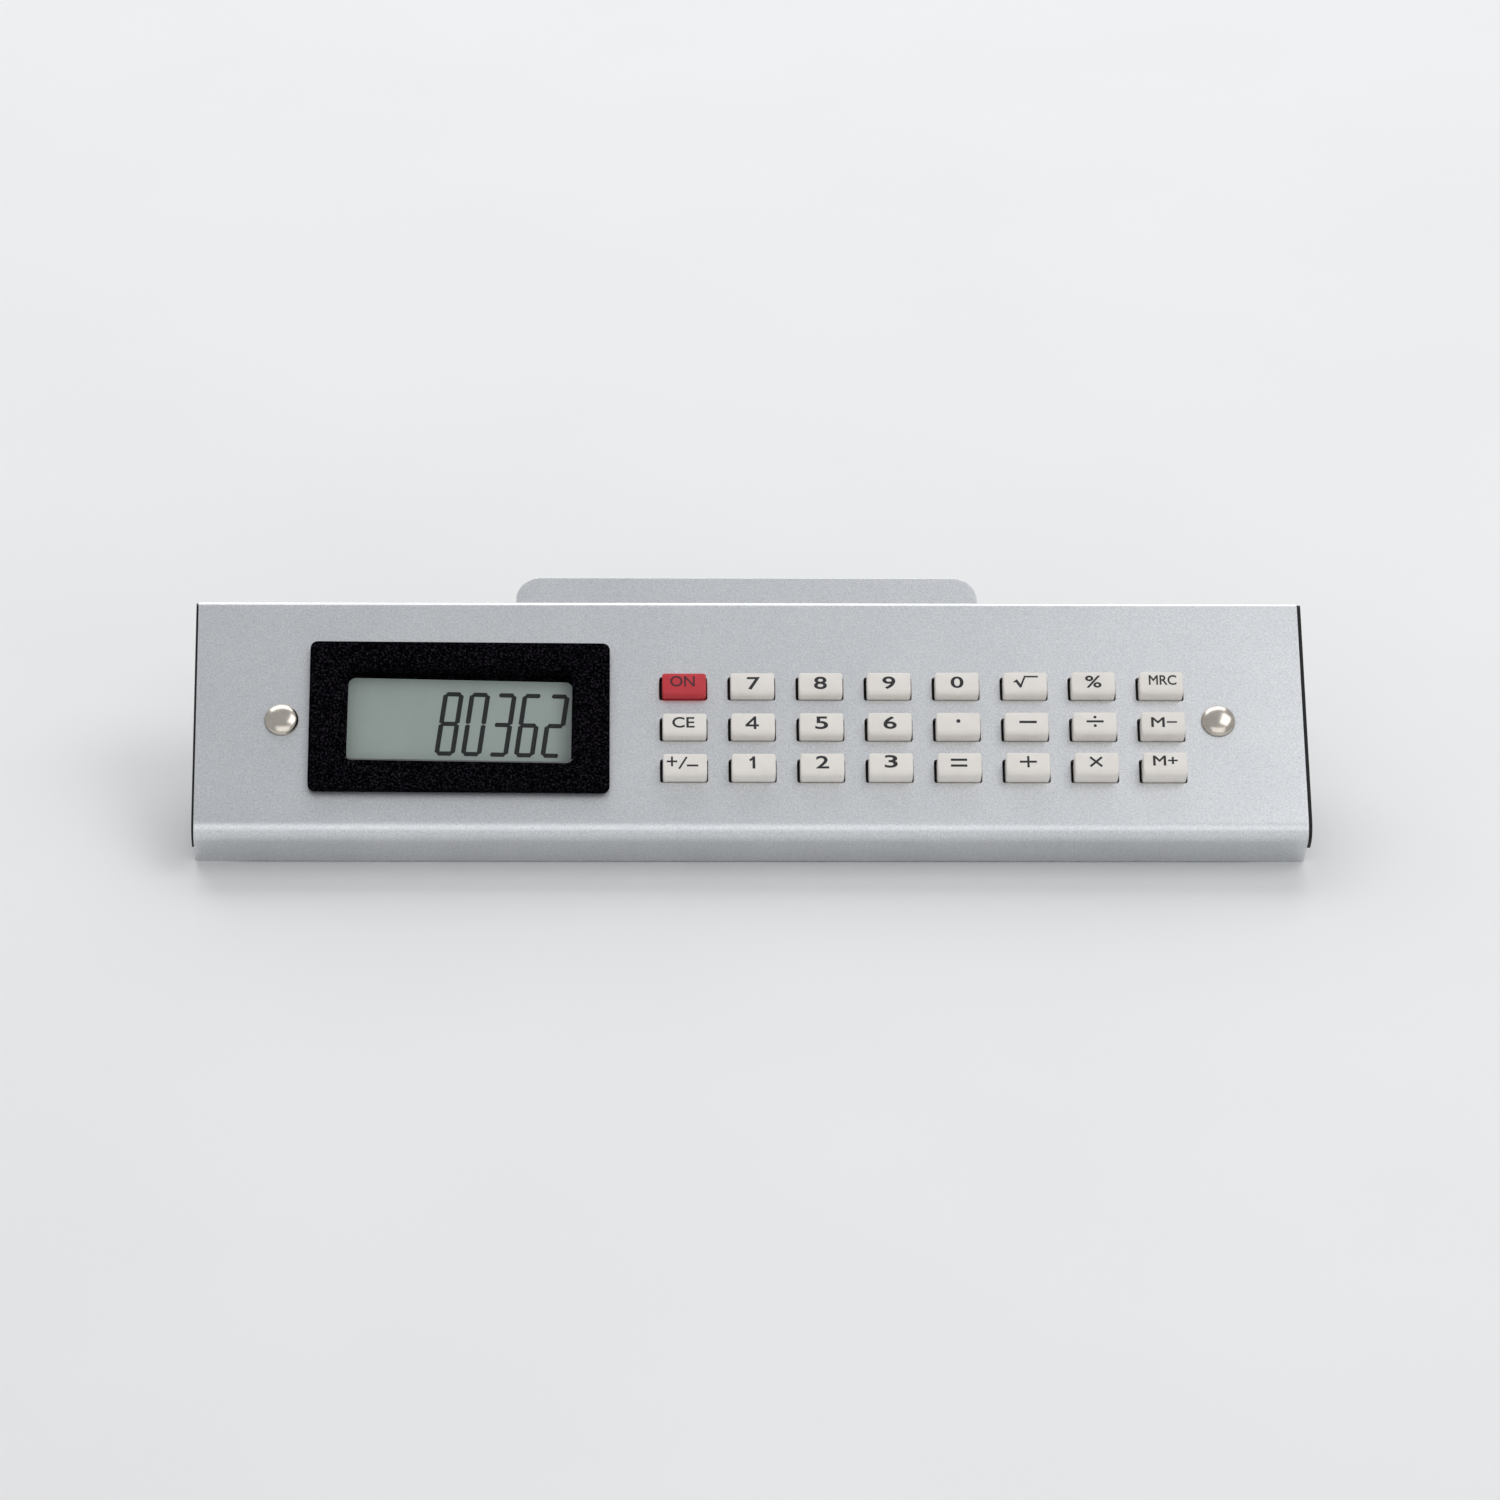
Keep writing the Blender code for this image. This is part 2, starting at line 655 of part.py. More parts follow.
def key_shape(proud):
    """A key about its own centre: plunger, retaining flange and a cap that rolls over in front."""
    plunger = centred(KEY_PLUNGER_WIDTH, KEY_PLUNGER_WIDTH, 0.3 * MM)
    flange = centred(KEY_FLANGE_WIDTH, KEY_FLANGE_DEPTH, 0.3 * MM)
    sections = [
        (plunger, KEY_PLUNGER_BOTTOM),
        (plunger, KEY_FLANGE_BOTTOM),
        (flange, KEY_FLANGE_BOTTOM),
        (flange, KEY_FLANGE_TOP),
        (centred(KEY_WIDTH, KEY_DEPTH, KEY_CORNER), KEY_FLANGE_TOP),
    ]
    for front, side, below_top in KEY_CAP_STEPS:
        corners = rectangle(
            -KEY_WIDTH / 2 + side,
            KEY_WIDTH / 2 - side,
            -KEY_DEPTH / 2 + front,
            KEY_DEPTH / 2 - side,
            KEY_CORNER,
        )
        sections.append((corners, proud - below_top))
    return lofted(sections, steps=2)


def make_keys(face_frame):
    for name, x, y, proud in key_places():
        finish = "red_plastic" if name == "on" else "key_plastic"
        place = (x + KEY_SIDESTEP, y, 0)
        add_piece("key_" + name, key_shape(proud), face_frame, finish, place, smooth=True)


def make_keypad_mat(face_frame):
    outline = rectangle(MAT_LEFT, MAT_RIGHT, MAT_FRONT, MAT_REAR, 1.5 * MM)
    base = prism(rounded_outline(outline), BOARD_TOP + GAP, MAT_TOP)
    mat = add_piece("keypad_mat", base, face_frame, "silicone_rubber")
    dome = (
        (DOME_BASE_RADIUS, MAT_TOP - 0.3 * MM),
        (DOME_BASE_RADIUS, MAT_TOP + 0.3 * MM),
        (DOME_TOP_RADIUS, DOME_TOP),
    )
    turns = [math.tau * side / DOME_SIDES for side in range(DOME_SIDES)]
    domes = bmesh.new()
    for _, x, y, _ in key_places():
        middle = Vector((x + KEY_SIDESTEP, y, 0))
        rings = []
        for radius, height in dome:
            ring = [
                middle + Vector((radius * math.cos(turn), radius * math.sin(turn), height))
                for turn in turns
            ]
            rings.append([domes.verts.new(point) for point in ring])
        add_walls(domes, rings)
    join_on(mat, add_piece("mat_domes", domes, face_frame))


def make_board(face_frame):
    """The circuit board, notched at the rear for the battery cell."""
    notch_left = CELL_X - 7.4 * MM
    notch_right = CELL_X + 7.4 * MM
    outline = [
        (BOARD_LEFT, BOARD_FRONT, 0),
        (BOARD_RIGHT, BOARD_FRONT, 0),
        (BOARD_RIGHT, BOARD_REAR, 0),
        (notch_right, BOARD_REAR, 0),
        (notch_right, CELL_Y - 6.6 * MM, 0.5 * MM),
        (notch_left, CELL_Y - 6.6 * MM, 0.5 * MM),
        (notch_left, BOARD_REAR, 0),
        (BOARD_LEFT, BOARD_REAR, 0),
    ]
    shape = prism(rounded_outline(outline), BOARD_BOTTOM, BOARD_TOP)
    board = add_piece("circuit_board", shape, face_frame, "board_laminate")
    holes = bmesh.new()
    for x, y in SCREW_PLACES:
        low = BOARD_BOTTOM - CLEAR
        add_cylinder(holes, x, y, SCREW_HOLE_RADIUS, low, BOARD_TOP + CLEAR, sides=10)
    cut(board, add_piece("board_screw_holes", holes, face_frame))


def make_board_parts(face_frame):
    underside = BOARD_BOTTOM - GAP
    blob = [
        (0, underside - 1.6 * MM),
        (2.2 * MM, underside - 1.45 * MM),
        (4.0 * MM, underside - 0.95 * MM),
        (5.0 * MM, underside),
        (0, underside),
    ]
    add_piece("chip_blob", turned(blob, 20), face_frame, "epoxy", CHIP_PLACE, smooth=True)
    outline = centred(3.2 * MM, 1.6 * MM, 0.1 * MM)
    for name, place, height, finish in (
        ("board_capacitor", CAPACITOR_PLACE, 1.3 * MM, "ceramic"),
        ("board_resistor", RESISTOR_PLACE, 0.6 * MM, "epoxy"),
    ):
        chip = lofted([(outline, underside - height), (outline, underside)], steps=1)
        add_piece(name, chip, face_frame, finish, place)
    screw = [
        (0, -8.1 * MM),
        (0.7 * MM, -7.9 * MM),
        (0.7 * MM, BOARD_TOP + GAP),
        (1.7 * MM, BOARD_TOP + GAP),
        (1.6 * MM, BOARD_TOP + 0.6 * MM),
        (1.0 * MM, BOARD_TOP + 0.9 * MM),
        (0, BOARD_TOP + 0.95 * MM),
    ]
    for number, (x, y) in enumerate(SCREW_PLACES, start=1):
        name = f"board_screw_{number}"
        add_piece(name, turned(screw, 12), face_frame, "zinc_steel", (x, y, 0), smooth=True)


def make_battery(face_frame):
    cell = [
        (0, CELL_BOTTOM),
        (CELL_RADIUS - 0.3 * MM, CELL_BOTTOM),
        (CELL_RADIUS, CELL_BOTTOM + 0.3 * MM),
        (CELL_RADIUS, CELL_TOP - 0.6 * MM),
        (CELL_RADIUS - 0.4 * MM, CELL_TOP - 0.4 * MM),
        (CELL_RADIUS - 1.0 * MM, CELL_TOP - 0.35 * MM),
        (CELL_RADIUS - 1.2 * MM, CELL_TOP),
        (0, CELL_TOP),
    ]
    place = (CELL_X, CELL_Y, 0)
    add_piece("battery_cell", turned(cell, 32), face_frame, "nickel", place, smooth=True)

    # Both contacts are bent strips, given by their edge in the x-z plane.
    ledge = BOARD_TOP + 0.15 * MM
    ledge_top = ledge + CONTACT_THICKNESS
    sole = CELL_TOP + 0.15 * MM
    negative = [
        (10.5 * MM, ledge),
        (10.5 * MM, ledge_top),
        (7.0 * MM, ledge_top),
        (4.5 * MM, sole + CONTACT_THICKNESS),
        (-2.5 * MM, sole + CONTACT_THICKNESS),
        (-2.5 * MM, sole),
        (4.7 * MM, sole),
        (7.1 * MM, ledge),
    ]
    rim = CELL_RADIUS + 0.2 * MM
    positive = [
        (-rim - CONTACT_THICKNESS, CELL_BOTTOM + 0.4 * MM),
        (-rim, CELL_BOTTOM + 0.4 * MM),
        (-rim, ledge_top),
        (-11 * MM, ledge_top),
        (-11 * MM, ledge),
        (-rim - CONTACT_THICKNESS, ledge),
    ]
    for name, edge in (("battery_contact_negative", negative), ("battery_contact_positive", positive)):
        strip = prism(edge, -CONTACT_HALF_WIDTH, CONTACT_HALF_WIDTH, along="y")
        add_piece(name, strip, face_frame, "spring_steel", place)

    # The door's section: a panel flush with the tray, and wider tongues in the grooves above.
    section = [
        (-DOOR_HALF_WIDTH, FLOOR_BOTTOM),
        (DOOR_HALF_WIDTH, FLOOR_BOTTOM),
        (DOOR_HALF_WIDTH, DOOR_TONGUE_BOTTOM),
        (DOOR_TONGUE_HALF_WIDTH, DOOR_TONGUE_BOTTOM),
        (DOOR_TONGUE_HALF_WIDTH, DOOR_TONGUE_TOP),
        (-DOOR_TONGUE_HALF_WIDTH, DOOR_TONGUE_TOP),
        (-DOOR_TONGUE_HALF_WIDTH, DOOR_TONGUE_BOTTOM),
        (-DOOR_HALF_WIDTH, DOOR_TONGUE_BOTTOM),
    ]
    door = prism(section, 0, TRAY_REAR - GAP - DOOR_FRONT, along="y")
    add_piece("battery_door", door, face_frame, "black_plastic", (CELL_X, DOOR_FRONT, 0))


def make_rivets(face_frame):
    head = [
        (RIVET_HEAD_RADIUS * math.sin(turn), GAP + RIVET_HEAD_HEIGHT * math.cos(turn))
        for turn in (math.radians(angle) for angle in (18, 36, 54, 72, 90))
    ]
    profile = [
        (0, RIVET_TAIL_BOTTOM),
        (RIVET_TAIL_RADIUS - 0.4 * MM, RIVET_TAIL_BOTTOM + 0.1 * MM),
        (RIVET_TAIL_RADIUS, CLAMP_BOTTOM - GAP),
        (RIVET_SHANK_RADIUS, CLAMP_BOTTOM - GAP),
        (RIVET_SHANK_RADIUS, GAP),
        *reversed(head),
        (0, GAP + RIVET_HEAD_HEIGHT),
    ]
    tube = washer_profile(RIVET_HOLE_RADIUS, SPACER_RADIUS, FLOOR_TOP + GAP, -SHEET - 0.15 * MM)
    for side, word in ((-1, "left"), (1, "right")):
        place = (side * RIVET_X, RIVET_Y, 0)
        rivet = turned(profile, 20)
        spacer = turned(tube, 16)
        add_piece("rivet_" + word, rivet, face_frame, "nickel", place, smooth=True)
        add_piece("rivet_spacer_" + word, spacer, face_frame, "zinc_steel", place, smooth=True)


def make_clamp_plate(face_frame):
    """Jaw bar in front, tongue with the thumb tab behind, and an ear each side of the tongue."""
    corner = 2 * MM
    outline = [
        (-JAW_HALF_WIDTH, JAW_FRONT, corner),
        (JAW_HALF_WIDTH, JAW_FRONT, corner),
        (JAW_HALF_WIDTH, JAW_REAR, corner),
        (TONGUE_HALF_WIDTH, JAW_REAR, 0),
        (TONGUE_HALF_WIDTH, TAB_REAR, TAB_CORNER),
        (-TONGUE_HALF_WIDTH, TAB_REAR, TAB_CORNER),
        (-TONGUE_HALF_WIDTH, JAW_REAR, 0),
        (-JAW_HALF_WIDTH, JAW_REAR, corner),
    ]
    shape = prism(rounded_outline(outline, steps=6), CLAMP_BOTTOM, CLAMP_TOP)
    plate = add_piece("clamp_plate", shape, face_frame, "satin_aluminium")

    ears = bmesh.new()
    ear_bottom = -PIN_DEPTH - EAR_HALF_WIDTH
    ear = [
        (PIN_Y - EAR_HALF_WIDTH, ear_bottom, EAR_FILLET),
        (PIN_Y + EAR_HALF_WIDTH, ear_bottom, EAR_FILLET),
        (PIN_Y + EAR_HALF_WIDTH, CLAMP_TOP - 0.3 * MM, 0),
        (PIN_Y - EAR_HALF_WIDTH, CLAMP_TOP - 0.3 * MM, 0),
    ]
    for side in (-1, 1):
        faces = sorted((side * TONGUE_HALF_WIDTH, side * (TONGUE_HALF_WIDTH - PLATE)))
        add_prism(ears, rounded_outline(ear), faces[0], faces[1], along="x")
    join_on(plate, add_piece("clamp_ears", ears, face_frame))
    cut(plate, pin_bore_tool("clamp_bore", face_frame, (0, PIN_Y, -PIN_DEPTH)))
    low = CLAMP_BOTTOM - CLEAR
    cut(plate, rivet_hole_tool("clamp_rivet_holes", low, CLAMP_TOP + CLEAR, face_frame))


def make_bracket():
    outline = rounded_outline(
        rectangle(-BRACKET_HALF_WIDTH, BRACKET_HALF_WIDTH, BRACKET_FRONT, BRACKET_REAR, 3 * MM)
    )
    bracket = add_piece("base_bracket", prism(outline, 0, PLATE), None, "zinc_steel")
    ears = bmesh.new()
    ear = [
        (-BRACKET_EAR_FOOT, PLATE / 2, 0),
        (BRACKET_EAR_FOOT, PLATE / 2, 0),
        (BRACKET_EAR_TOP, PIN_HEIGHT + BRACKET_EAR_TOP, 2.6 * MM),
        (-BRACKET_EAR_TOP, PIN_HEIGHT + BRACKET_EAR_TOP, 2.6 * MM),
    ]
    for side in (-1, 1):
        faces = sorted((side * BRACKET_HALF_WIDTH, side * (BRACKET_HALF_WIDTH - PLATE)))
        add_prism(ears, rounded_outline(ear), faces[0], faces[1], along="x")
    join_on(bracket, add_piece("bracket_ears", ears))
    cut(bracket, pin_bore_tool("bracket_bore", None, (0, 0, PIN_HEIGHT)))
    holes = bmesh.new()
    for x in (-BRACKET_HOLE_X, BRACKET_HOLE_X):
        for y in (-BRACKET_HOLE_Y, BRACKET_HOLE_Y):
            add_cylinder(holes, x, y, BRACKET_HOLE_RADIUS, -CLEAR, PLATE + CLEAR)
    cut(bracket, add_piece("bracket_rivet_holes", holes))


def make_hinge_pin():
    """A pin with a flat head at the left end and a push-on clip in front of the right end."""
    profile = [
        (0, -PIN_REACH),
        (PIN_HEAD_RADIUS - 0.2 * MM, -PIN_REACH),
        (PIN_HEAD_RADIUS, -PIN_REACH + 0.2 * MM),
        (PIN_HEAD_RADIUS, -PIN_REACH + PIN_HEAD_THICKNESS),
        (PIN_RADIUS, -PIN_REACH + PIN_HEAD_THICKNESS),
        (PIN_RADIUS, PIN_REACH - 0.4 * MM),
        (PIN_RADIUS - 0.4 * MM, PIN_REACH),
        (0, PIN_REACH),
    ]
    place = (0, 0, PIN_HEIGHT)
    add_piece("hinge_pin", turned(profile, 20, "x"), None, "zinc_steel", place, smooth=True)
    clip = washer_profile(
        PIN_RADIUS + 0.15 * MM, CLIP_RADIUS, CLIP_INNER_FACE, CLIP_OUTER_FACE
    )
    add_piece("pin_clip", turned(clip, 20, "x"), None, "spring_steel", place, smooth=True)


def spring_path(side):
    """Points of one torsion spring: a leg under the tongue, the coil, and a leg on the bracket."""
    points = []
    # The coil starts at the top, square to the tongue, and ends under the pin.
    start = math.pi / 2 + FACE_TILT
    total = SPRING_TURNS + 0.5 - FACE_TILT / math.tau
    count = round(total * SPRING_POINTS_PER_TURN)
    for index in range(count + 1):
        wound = total * index / count
        angle = start + math.tau * wound
        x = side * (SPRING_X + SPRING_PITCH * (wound - total / 2))
        y = SPRING_MEAN_RADIUS * math.cos(angle)
        z = SPRING_MEAN_RADIUS * math.sin(angle)
        points.append(Vector((x, y, z)))
    rear = Vector((0, math.cos(FACE_TILT), math.sin(FACE_TILT)))
    first_leg = points[0] + rear * SPRING_LEG
    foot_height = PLATE + 0.2 * MM + SPRING_WIRE_RADIUS - PIN_HEIGHT
    last_leg = Vector((points[-1].x, SPRING_FOOT_REACH, foot_height))
    return [first_leg, *points, last_leg]


def make_springs():
    for side, word in ((-1, "left"), (1, "right")):
        name = "torsion_spring_" + word
        curve = bpy.data.curves.new(name, "CURVE")
        curve.dimensions = "3D"
        curve.bevel_depth = SPRING_WIRE_RADIUS
        curve.bevel_resolution = 1
        curve.use_fill_caps = True
        path = spring_path(side)
        spline = curve.splines.new("POLY")
        spline.points.add(len(path) - 1)
        for point, place in zip(spline.points, path):
            point.co = (*place, 1)
        curve.materials.append(finish_material("spring_steel"))
        spring = bpy.data.objects.new(name, curve)
        spring.location = (0, 0, PIN_HEIGHT)
        bpy.context.scene.collection.objects.link(spring)


def build():
    clear_scene()
    face_frame = make_face_frame()
    make_cover(face_frame)
    make_tray(face_frame)
    make_bezel(face_frame)
    make_display(face_frame)
    make_keys(face_frame)
    make_keypad_mat(face_frame)
    make_board(face_frame)
    make_board_parts(face_frame)
    make_battery(face_frame)
    make_rivets(face_frame)
    make_clamp_plate(face_frame)
    make_bracket()
    make_hinge_pin()
    make_springs()


build()
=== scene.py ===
"""Desk calculator in the sprung aluminium jaw of a form holder: its finished look.

Pieces of the calculator are modelled in millimetres in the face frame: x to the right, y up along
the face from the front fold, z out of the face. place() then puts them into the part's own frame.
"""

import math

import bmesh
import bpy
from mathutils import Matrix, Vector


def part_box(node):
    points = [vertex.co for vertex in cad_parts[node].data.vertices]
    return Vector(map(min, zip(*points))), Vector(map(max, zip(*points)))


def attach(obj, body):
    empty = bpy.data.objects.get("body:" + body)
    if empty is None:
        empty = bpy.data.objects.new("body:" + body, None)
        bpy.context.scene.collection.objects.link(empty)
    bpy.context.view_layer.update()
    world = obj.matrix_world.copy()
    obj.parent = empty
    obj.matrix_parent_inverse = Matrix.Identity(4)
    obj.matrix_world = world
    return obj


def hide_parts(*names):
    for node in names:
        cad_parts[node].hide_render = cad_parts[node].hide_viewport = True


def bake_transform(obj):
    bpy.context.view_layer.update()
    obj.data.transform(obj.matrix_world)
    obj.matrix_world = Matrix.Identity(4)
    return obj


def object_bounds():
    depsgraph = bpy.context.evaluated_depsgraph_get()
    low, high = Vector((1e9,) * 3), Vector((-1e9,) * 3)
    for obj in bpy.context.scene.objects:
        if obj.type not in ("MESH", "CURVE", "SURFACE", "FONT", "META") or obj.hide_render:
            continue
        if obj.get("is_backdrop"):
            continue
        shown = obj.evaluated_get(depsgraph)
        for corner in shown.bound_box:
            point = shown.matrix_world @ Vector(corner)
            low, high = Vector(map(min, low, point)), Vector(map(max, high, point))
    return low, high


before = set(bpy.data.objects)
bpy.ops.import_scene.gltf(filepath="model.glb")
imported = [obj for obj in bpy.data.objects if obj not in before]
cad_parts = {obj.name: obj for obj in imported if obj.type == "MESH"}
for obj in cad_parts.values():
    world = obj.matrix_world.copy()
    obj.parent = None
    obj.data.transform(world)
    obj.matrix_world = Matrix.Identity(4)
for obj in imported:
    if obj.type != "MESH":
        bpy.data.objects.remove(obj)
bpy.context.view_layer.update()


# ---------------------------------------------------------------- housing cover
# One strip of 1 mm aluminium sheet, folded down along the front and the rear, with punched holes
# for keys, bezel and rivets. Its satin anodised face has a fine grain. Two rivets hold it down.

MM = 0.001
FACE_TILT = math.radians(33)
PIN_Y = 31
PIN_DEPTH = 14.6
pin_low, pin_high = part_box("hinge_pin")
face = (
    Matrix.Translation((pin_low + pin_high) / 2)
    @ Matrix.Rotation(FACE_TILT, 4, "X")
    @ Matrix.Translation((0, -PIN_Y * MM, PIN_DEPTH * MM))
    @ Matrix.Scale(MM, 4)
)
SHEET = 1.0
COVER_WIDTH = 180
FACE_LENGTH = 42.9
LIP_HEIGHT = 9.7
REAR_FLANGE = 8.4
FRONT_BEND = 2.75
REAR_BEND = 1.2
KEY_COLUMNS = 8
KEY_ROWS = 3
KEY_PITCH_X = 11.1
KEY_PITCH_Y = 7.5
FIRST_KEY = (-11.04, 26.57)
DISPLAY = (-47.3, 20.9)
RIVET_X = 76.1
RIVET_Y = 20.7
RIVET_HOLE_RADIUS = 1.5
KEY_HOLE_WIDTH = 7.72
KEY_HOLE_DEPTH = 4.2
KEY_HOLE_SHIFT = 0.065
BEZEL_HOLE_WIDTH = 41.6
BEZEL_HOLE_DEPTH = 22.6
# Heights between which a tool cuts through the sheet
CUT_LOW = -2
CUT_HIGH = 1
# A distance that tells one edge from the next
NEAR = 0.01


def begin(name, add, width=None, depth=None, **settings):
    """Add a primitive under this name, stretch it to size, and open it in edit mode."""
    if bpy.context.object and bpy.context.object.mode == "EDIT":
        bpy.ops.object.mode_set(mode="OBJECT")
    bpy.ops.object.select_all(action="DESELECT")
    add(**settings)
    piece = bpy.context.object
    piece.name = piece.data.name = name
    bpy.ops.object.mode_set(mode="EDIT")
    centre = settings.get("location", (0, 0, 0))
    if width:
        bpy.ops.transform.resize(value=(width / 2, depth / 2, 1), center_override=centre)
    bpy.ops.object.mode_set(mode="OBJECT")
    bpy.ops.object.transform_apply(location=True, rotation=True, scale=True)
    bpy.ops.object.mode_set(mode="EDIT")
    return piece


def pick(kind, test):
    """Select only the vertices, edges or faces whose middle passes the test."""
    bpy.ops.mesh.select_mode(type=kind)
    bpy.ops.mesh.select_all(action="DESELECT")
    shape = bmesh.from_edit_mesh(bpy.context.object.data)
    if kind == "VERT":
        found = [v for v in shape.verts if test(v.co)]
    elif kind == "EDGE":
        found = [e for e in shape.edges if test((e.verts[0].co + e.verts[1].co) / 2)]
    else:
        found = [f for f in shape.faces if test(f.calc_center_median())]
    for item in found:
        item.select_set(True)
    bmesh.update_edit_mesh(bpy.context.object.data)


def pull(x=0, y=0, z=0):
    """Extrude what is selected by this much."""
    bpy.ops.mesh.extrude_region_move(TRANSFORM_OT_translate={"value": (x, y, z)})


def rounded_plate(name, width, depth, radius, segments, low, high, middle=(0, 0)):
    """A plate with rounded corners between two heights, left open in edit mode."""
    piece = begin(
        name, bpy.ops.mesh.primitive_plane_add, width, depth, size=2, location=(*middle, low)
    )
    pick("VERT", lambda p: True)
    bpy.ops.mesh.bevel(offset=radius, segments=segments, affect="VERTICES")
    bpy.ops.mesh.select_all(action="SELECT")
    pull(z=high - low)
    return piece


def apply_modifier(piece, kind, **settings):
    """Add a modifier with these settings and apply it at once."""
    if bpy.context.object and bpy.context.object.mode == "EDIT":
        bpy.ops.object.mode_set(mode="OBJECT")
    bpy.context.view_layer.objects.active = piece
    modifier = piece.modifiers.new(kind.title(), kind)
    for name, value in settings.items():
        setattr(modifier, name, value)
    bpy.ops.object.modifier_apply(modifier=modifier.name)


def combine(piece, tool, operation="DIFFERENCE"):
    """Cut a tool away from a piece or join it on, and clear the tool away."""
    close(tool)
    apply_modifier(piece, "BOOLEAN", operation=operation, solver="EXACT", object=tool)
    bpy.data.objects.remove(tool)


def round_punch(radius, spot, turn=(0, 0, 0), length=6, corners=32):
    """A round tool for a hole through sheet, with its middle at this spot."""
    return begin(
        "punch",
        bpy.ops.mesh.primitive_cylinder_add,
        vertices=corners,
        radius=radius,
        depth=length,
        location=spot,
        rotation=turn,
    )


def close(piece):
    """Leave edit mode with doubles merged and every face pointing outwards."""
    bpy.ops.object.mode_set(mode="OBJECT")
    bpy.context.view_layer.objects.active = piece
    bpy.ops.object.mode_set(mode="EDIT")
    bpy.ops.mesh.select_all(action="SELECT")
    bpy.ops.mesh.remove_doubles(threshold=0.001)
    bpy.ops.mesh.normals_make_consistent(inside=False)
    bpy.ops.object.mode_set(mode="OBJECT")


def soften(piece, width, segments=2, angle=40):
    """Round every edge sharper than the angle, and shade the faces smooth with flats kept flat."""
    apply_modifier(
        piece,
        "BEVEL",
        width=width,
        segments=segments,
        limit_method="ANGLE",
        angle_limit=math.radians(angle),
        use_clamp_overlap=False,
    )
    piece.data.shade_smooth()
    apply_modifier(piece, "WEIGHTED_NORMAL", mode="FACE_AREA", weight=50)


def place(piece, finish, where=face):
    """Bring a finished piece into the part's frame and give it its finish."""
    if bpy.context.object and bpy.context.object.mode == "EDIT":
        bpy.ops.object.mode_set(mode="OBJECT")
    piece.data.transform(where)
    piece.data.materials.append(finish.material)


class Wire:
    """One output of a shader node. Python's operators on it add Math nodes to its finish."""

    def __init__(self, finish, socket):
        self.finish = finish
        self.socket = socket

    def math(self, operation, first, second):
        return self.finish.node("ShaderNodeMath", {"operation": operation}, {0: first, 1: second})

    def __add__(self, other):
        return self.math("ADD", self, other)

    def __sub__(self, other):
        return self.math("SUBTRACT", self, other)

    def __rsub__(self, other):
        return self.math("SUBTRACT", other, self)

    def __mul__(self, other):
        return self.math("MULTIPLY", self, other)

    __radd__ = __add__
    __rmul__ = __mul__


class Finish:
    """A procedural surface finish. Plain settings go on its shader, and nodes feed what varies."""

    def __init__(self, name, **plain):
        self.material = bpy.data.materials.new(name)
        self.material.use_nodes = True
        self.tree = self.material.node_tree
        self.shader = self.tree.nodes["Principled BSDF"]
        for socket, value in plain.items():
            self.shader.inputs[socket.replace("_", " ")].default_value = value
        self.here = self.node("ShaderNodeTexCoord", output="Object")

    def node(self, kind, settings=None, inputs=None, output=0):
        """Any node: its settings first, then a value or another node's wire for each socket."""
        made = self.tree.nodes.new(kind)
        for name, value in (settings or {}).items():
            setattr(made, name, value)
        for socket, value in (inputs or {}).items():
            self.feed(made.inputs[socket], value)
        return Wire(self, made.outputs[output])

    def feed(self, socket, value):
        if isinstance(value, Wire):
            self.tree.links.new(value.socket, socket)
        else:
            socket.default_value = value

    def grain(self, size, detail=2.0, stretch=(1, 1, 1)):
        """Noise from 0 to 1 whose features are about this many millimetres across."""
        where = self.node("ShaderNodeMapping", None, {"Vector": self.here, "Scale": stretch})
        inputs = {"Vector": where, "Scale": 1 / (size * MM), "Detail": detail}
        return self.node("ShaderNodeTexNoise", None, inputs)

    def spread(self, value, low, high):
        """Stretch the part of a value between low and high over 0 to 1, and cut off the rest."""
        inputs = {0: value, 1: low, 2: high, 3: 0.0, 4: 1.0}
        return self.node("ShaderNodeMapRange", {"clamp": True}, inputs)

    def blend(self, share, first, second):
        """A colour between two colours."""
        inputs = {0: share, 6: (*first, 1) if isinstance(first, tuple) else first, 7: (*second, 1)}
        return self.node("ShaderNodeMix", {"data_type": "RGBA"}, inputs, output=2)

    def wear(self, colour=None, roughness=None, relief=None, depth=0.01):
        """Feed the shader: its colour, its roughness, and a relief of this depth in millimetres."""
        if colour:
            self.feed(self.shader.inputs["Base Color"], colour)
        if roughness:
            self.feed(self.shader.inputs["Roughness"], roughness)
        if relief:
            inputs = {"Height": relief, "Distance": depth * MM, "Strength": 1.0}
            self.feed(self.shader.inputs["Normal"], self.node("ShaderNodeBump", None, inputs))


anodised = Finish("satin_anodised_aluminium", Metallic=1.0)
fine = anodised.spread(anodised.grain(0.27, 2), 0.3, 0.7)
cloudy = anodised.grain(14, 2)
anodised.wear(
    anodised.blend(fine * 0.7 + cloudy * 0.3, (0.565, 0.58, 0.60), (0.825, 0.835, 0.85)),
    anodised.grain(0.5, 2) * 0.12 + 0.36,
    anodised.grain(0.22, 2),
    0.006,
)

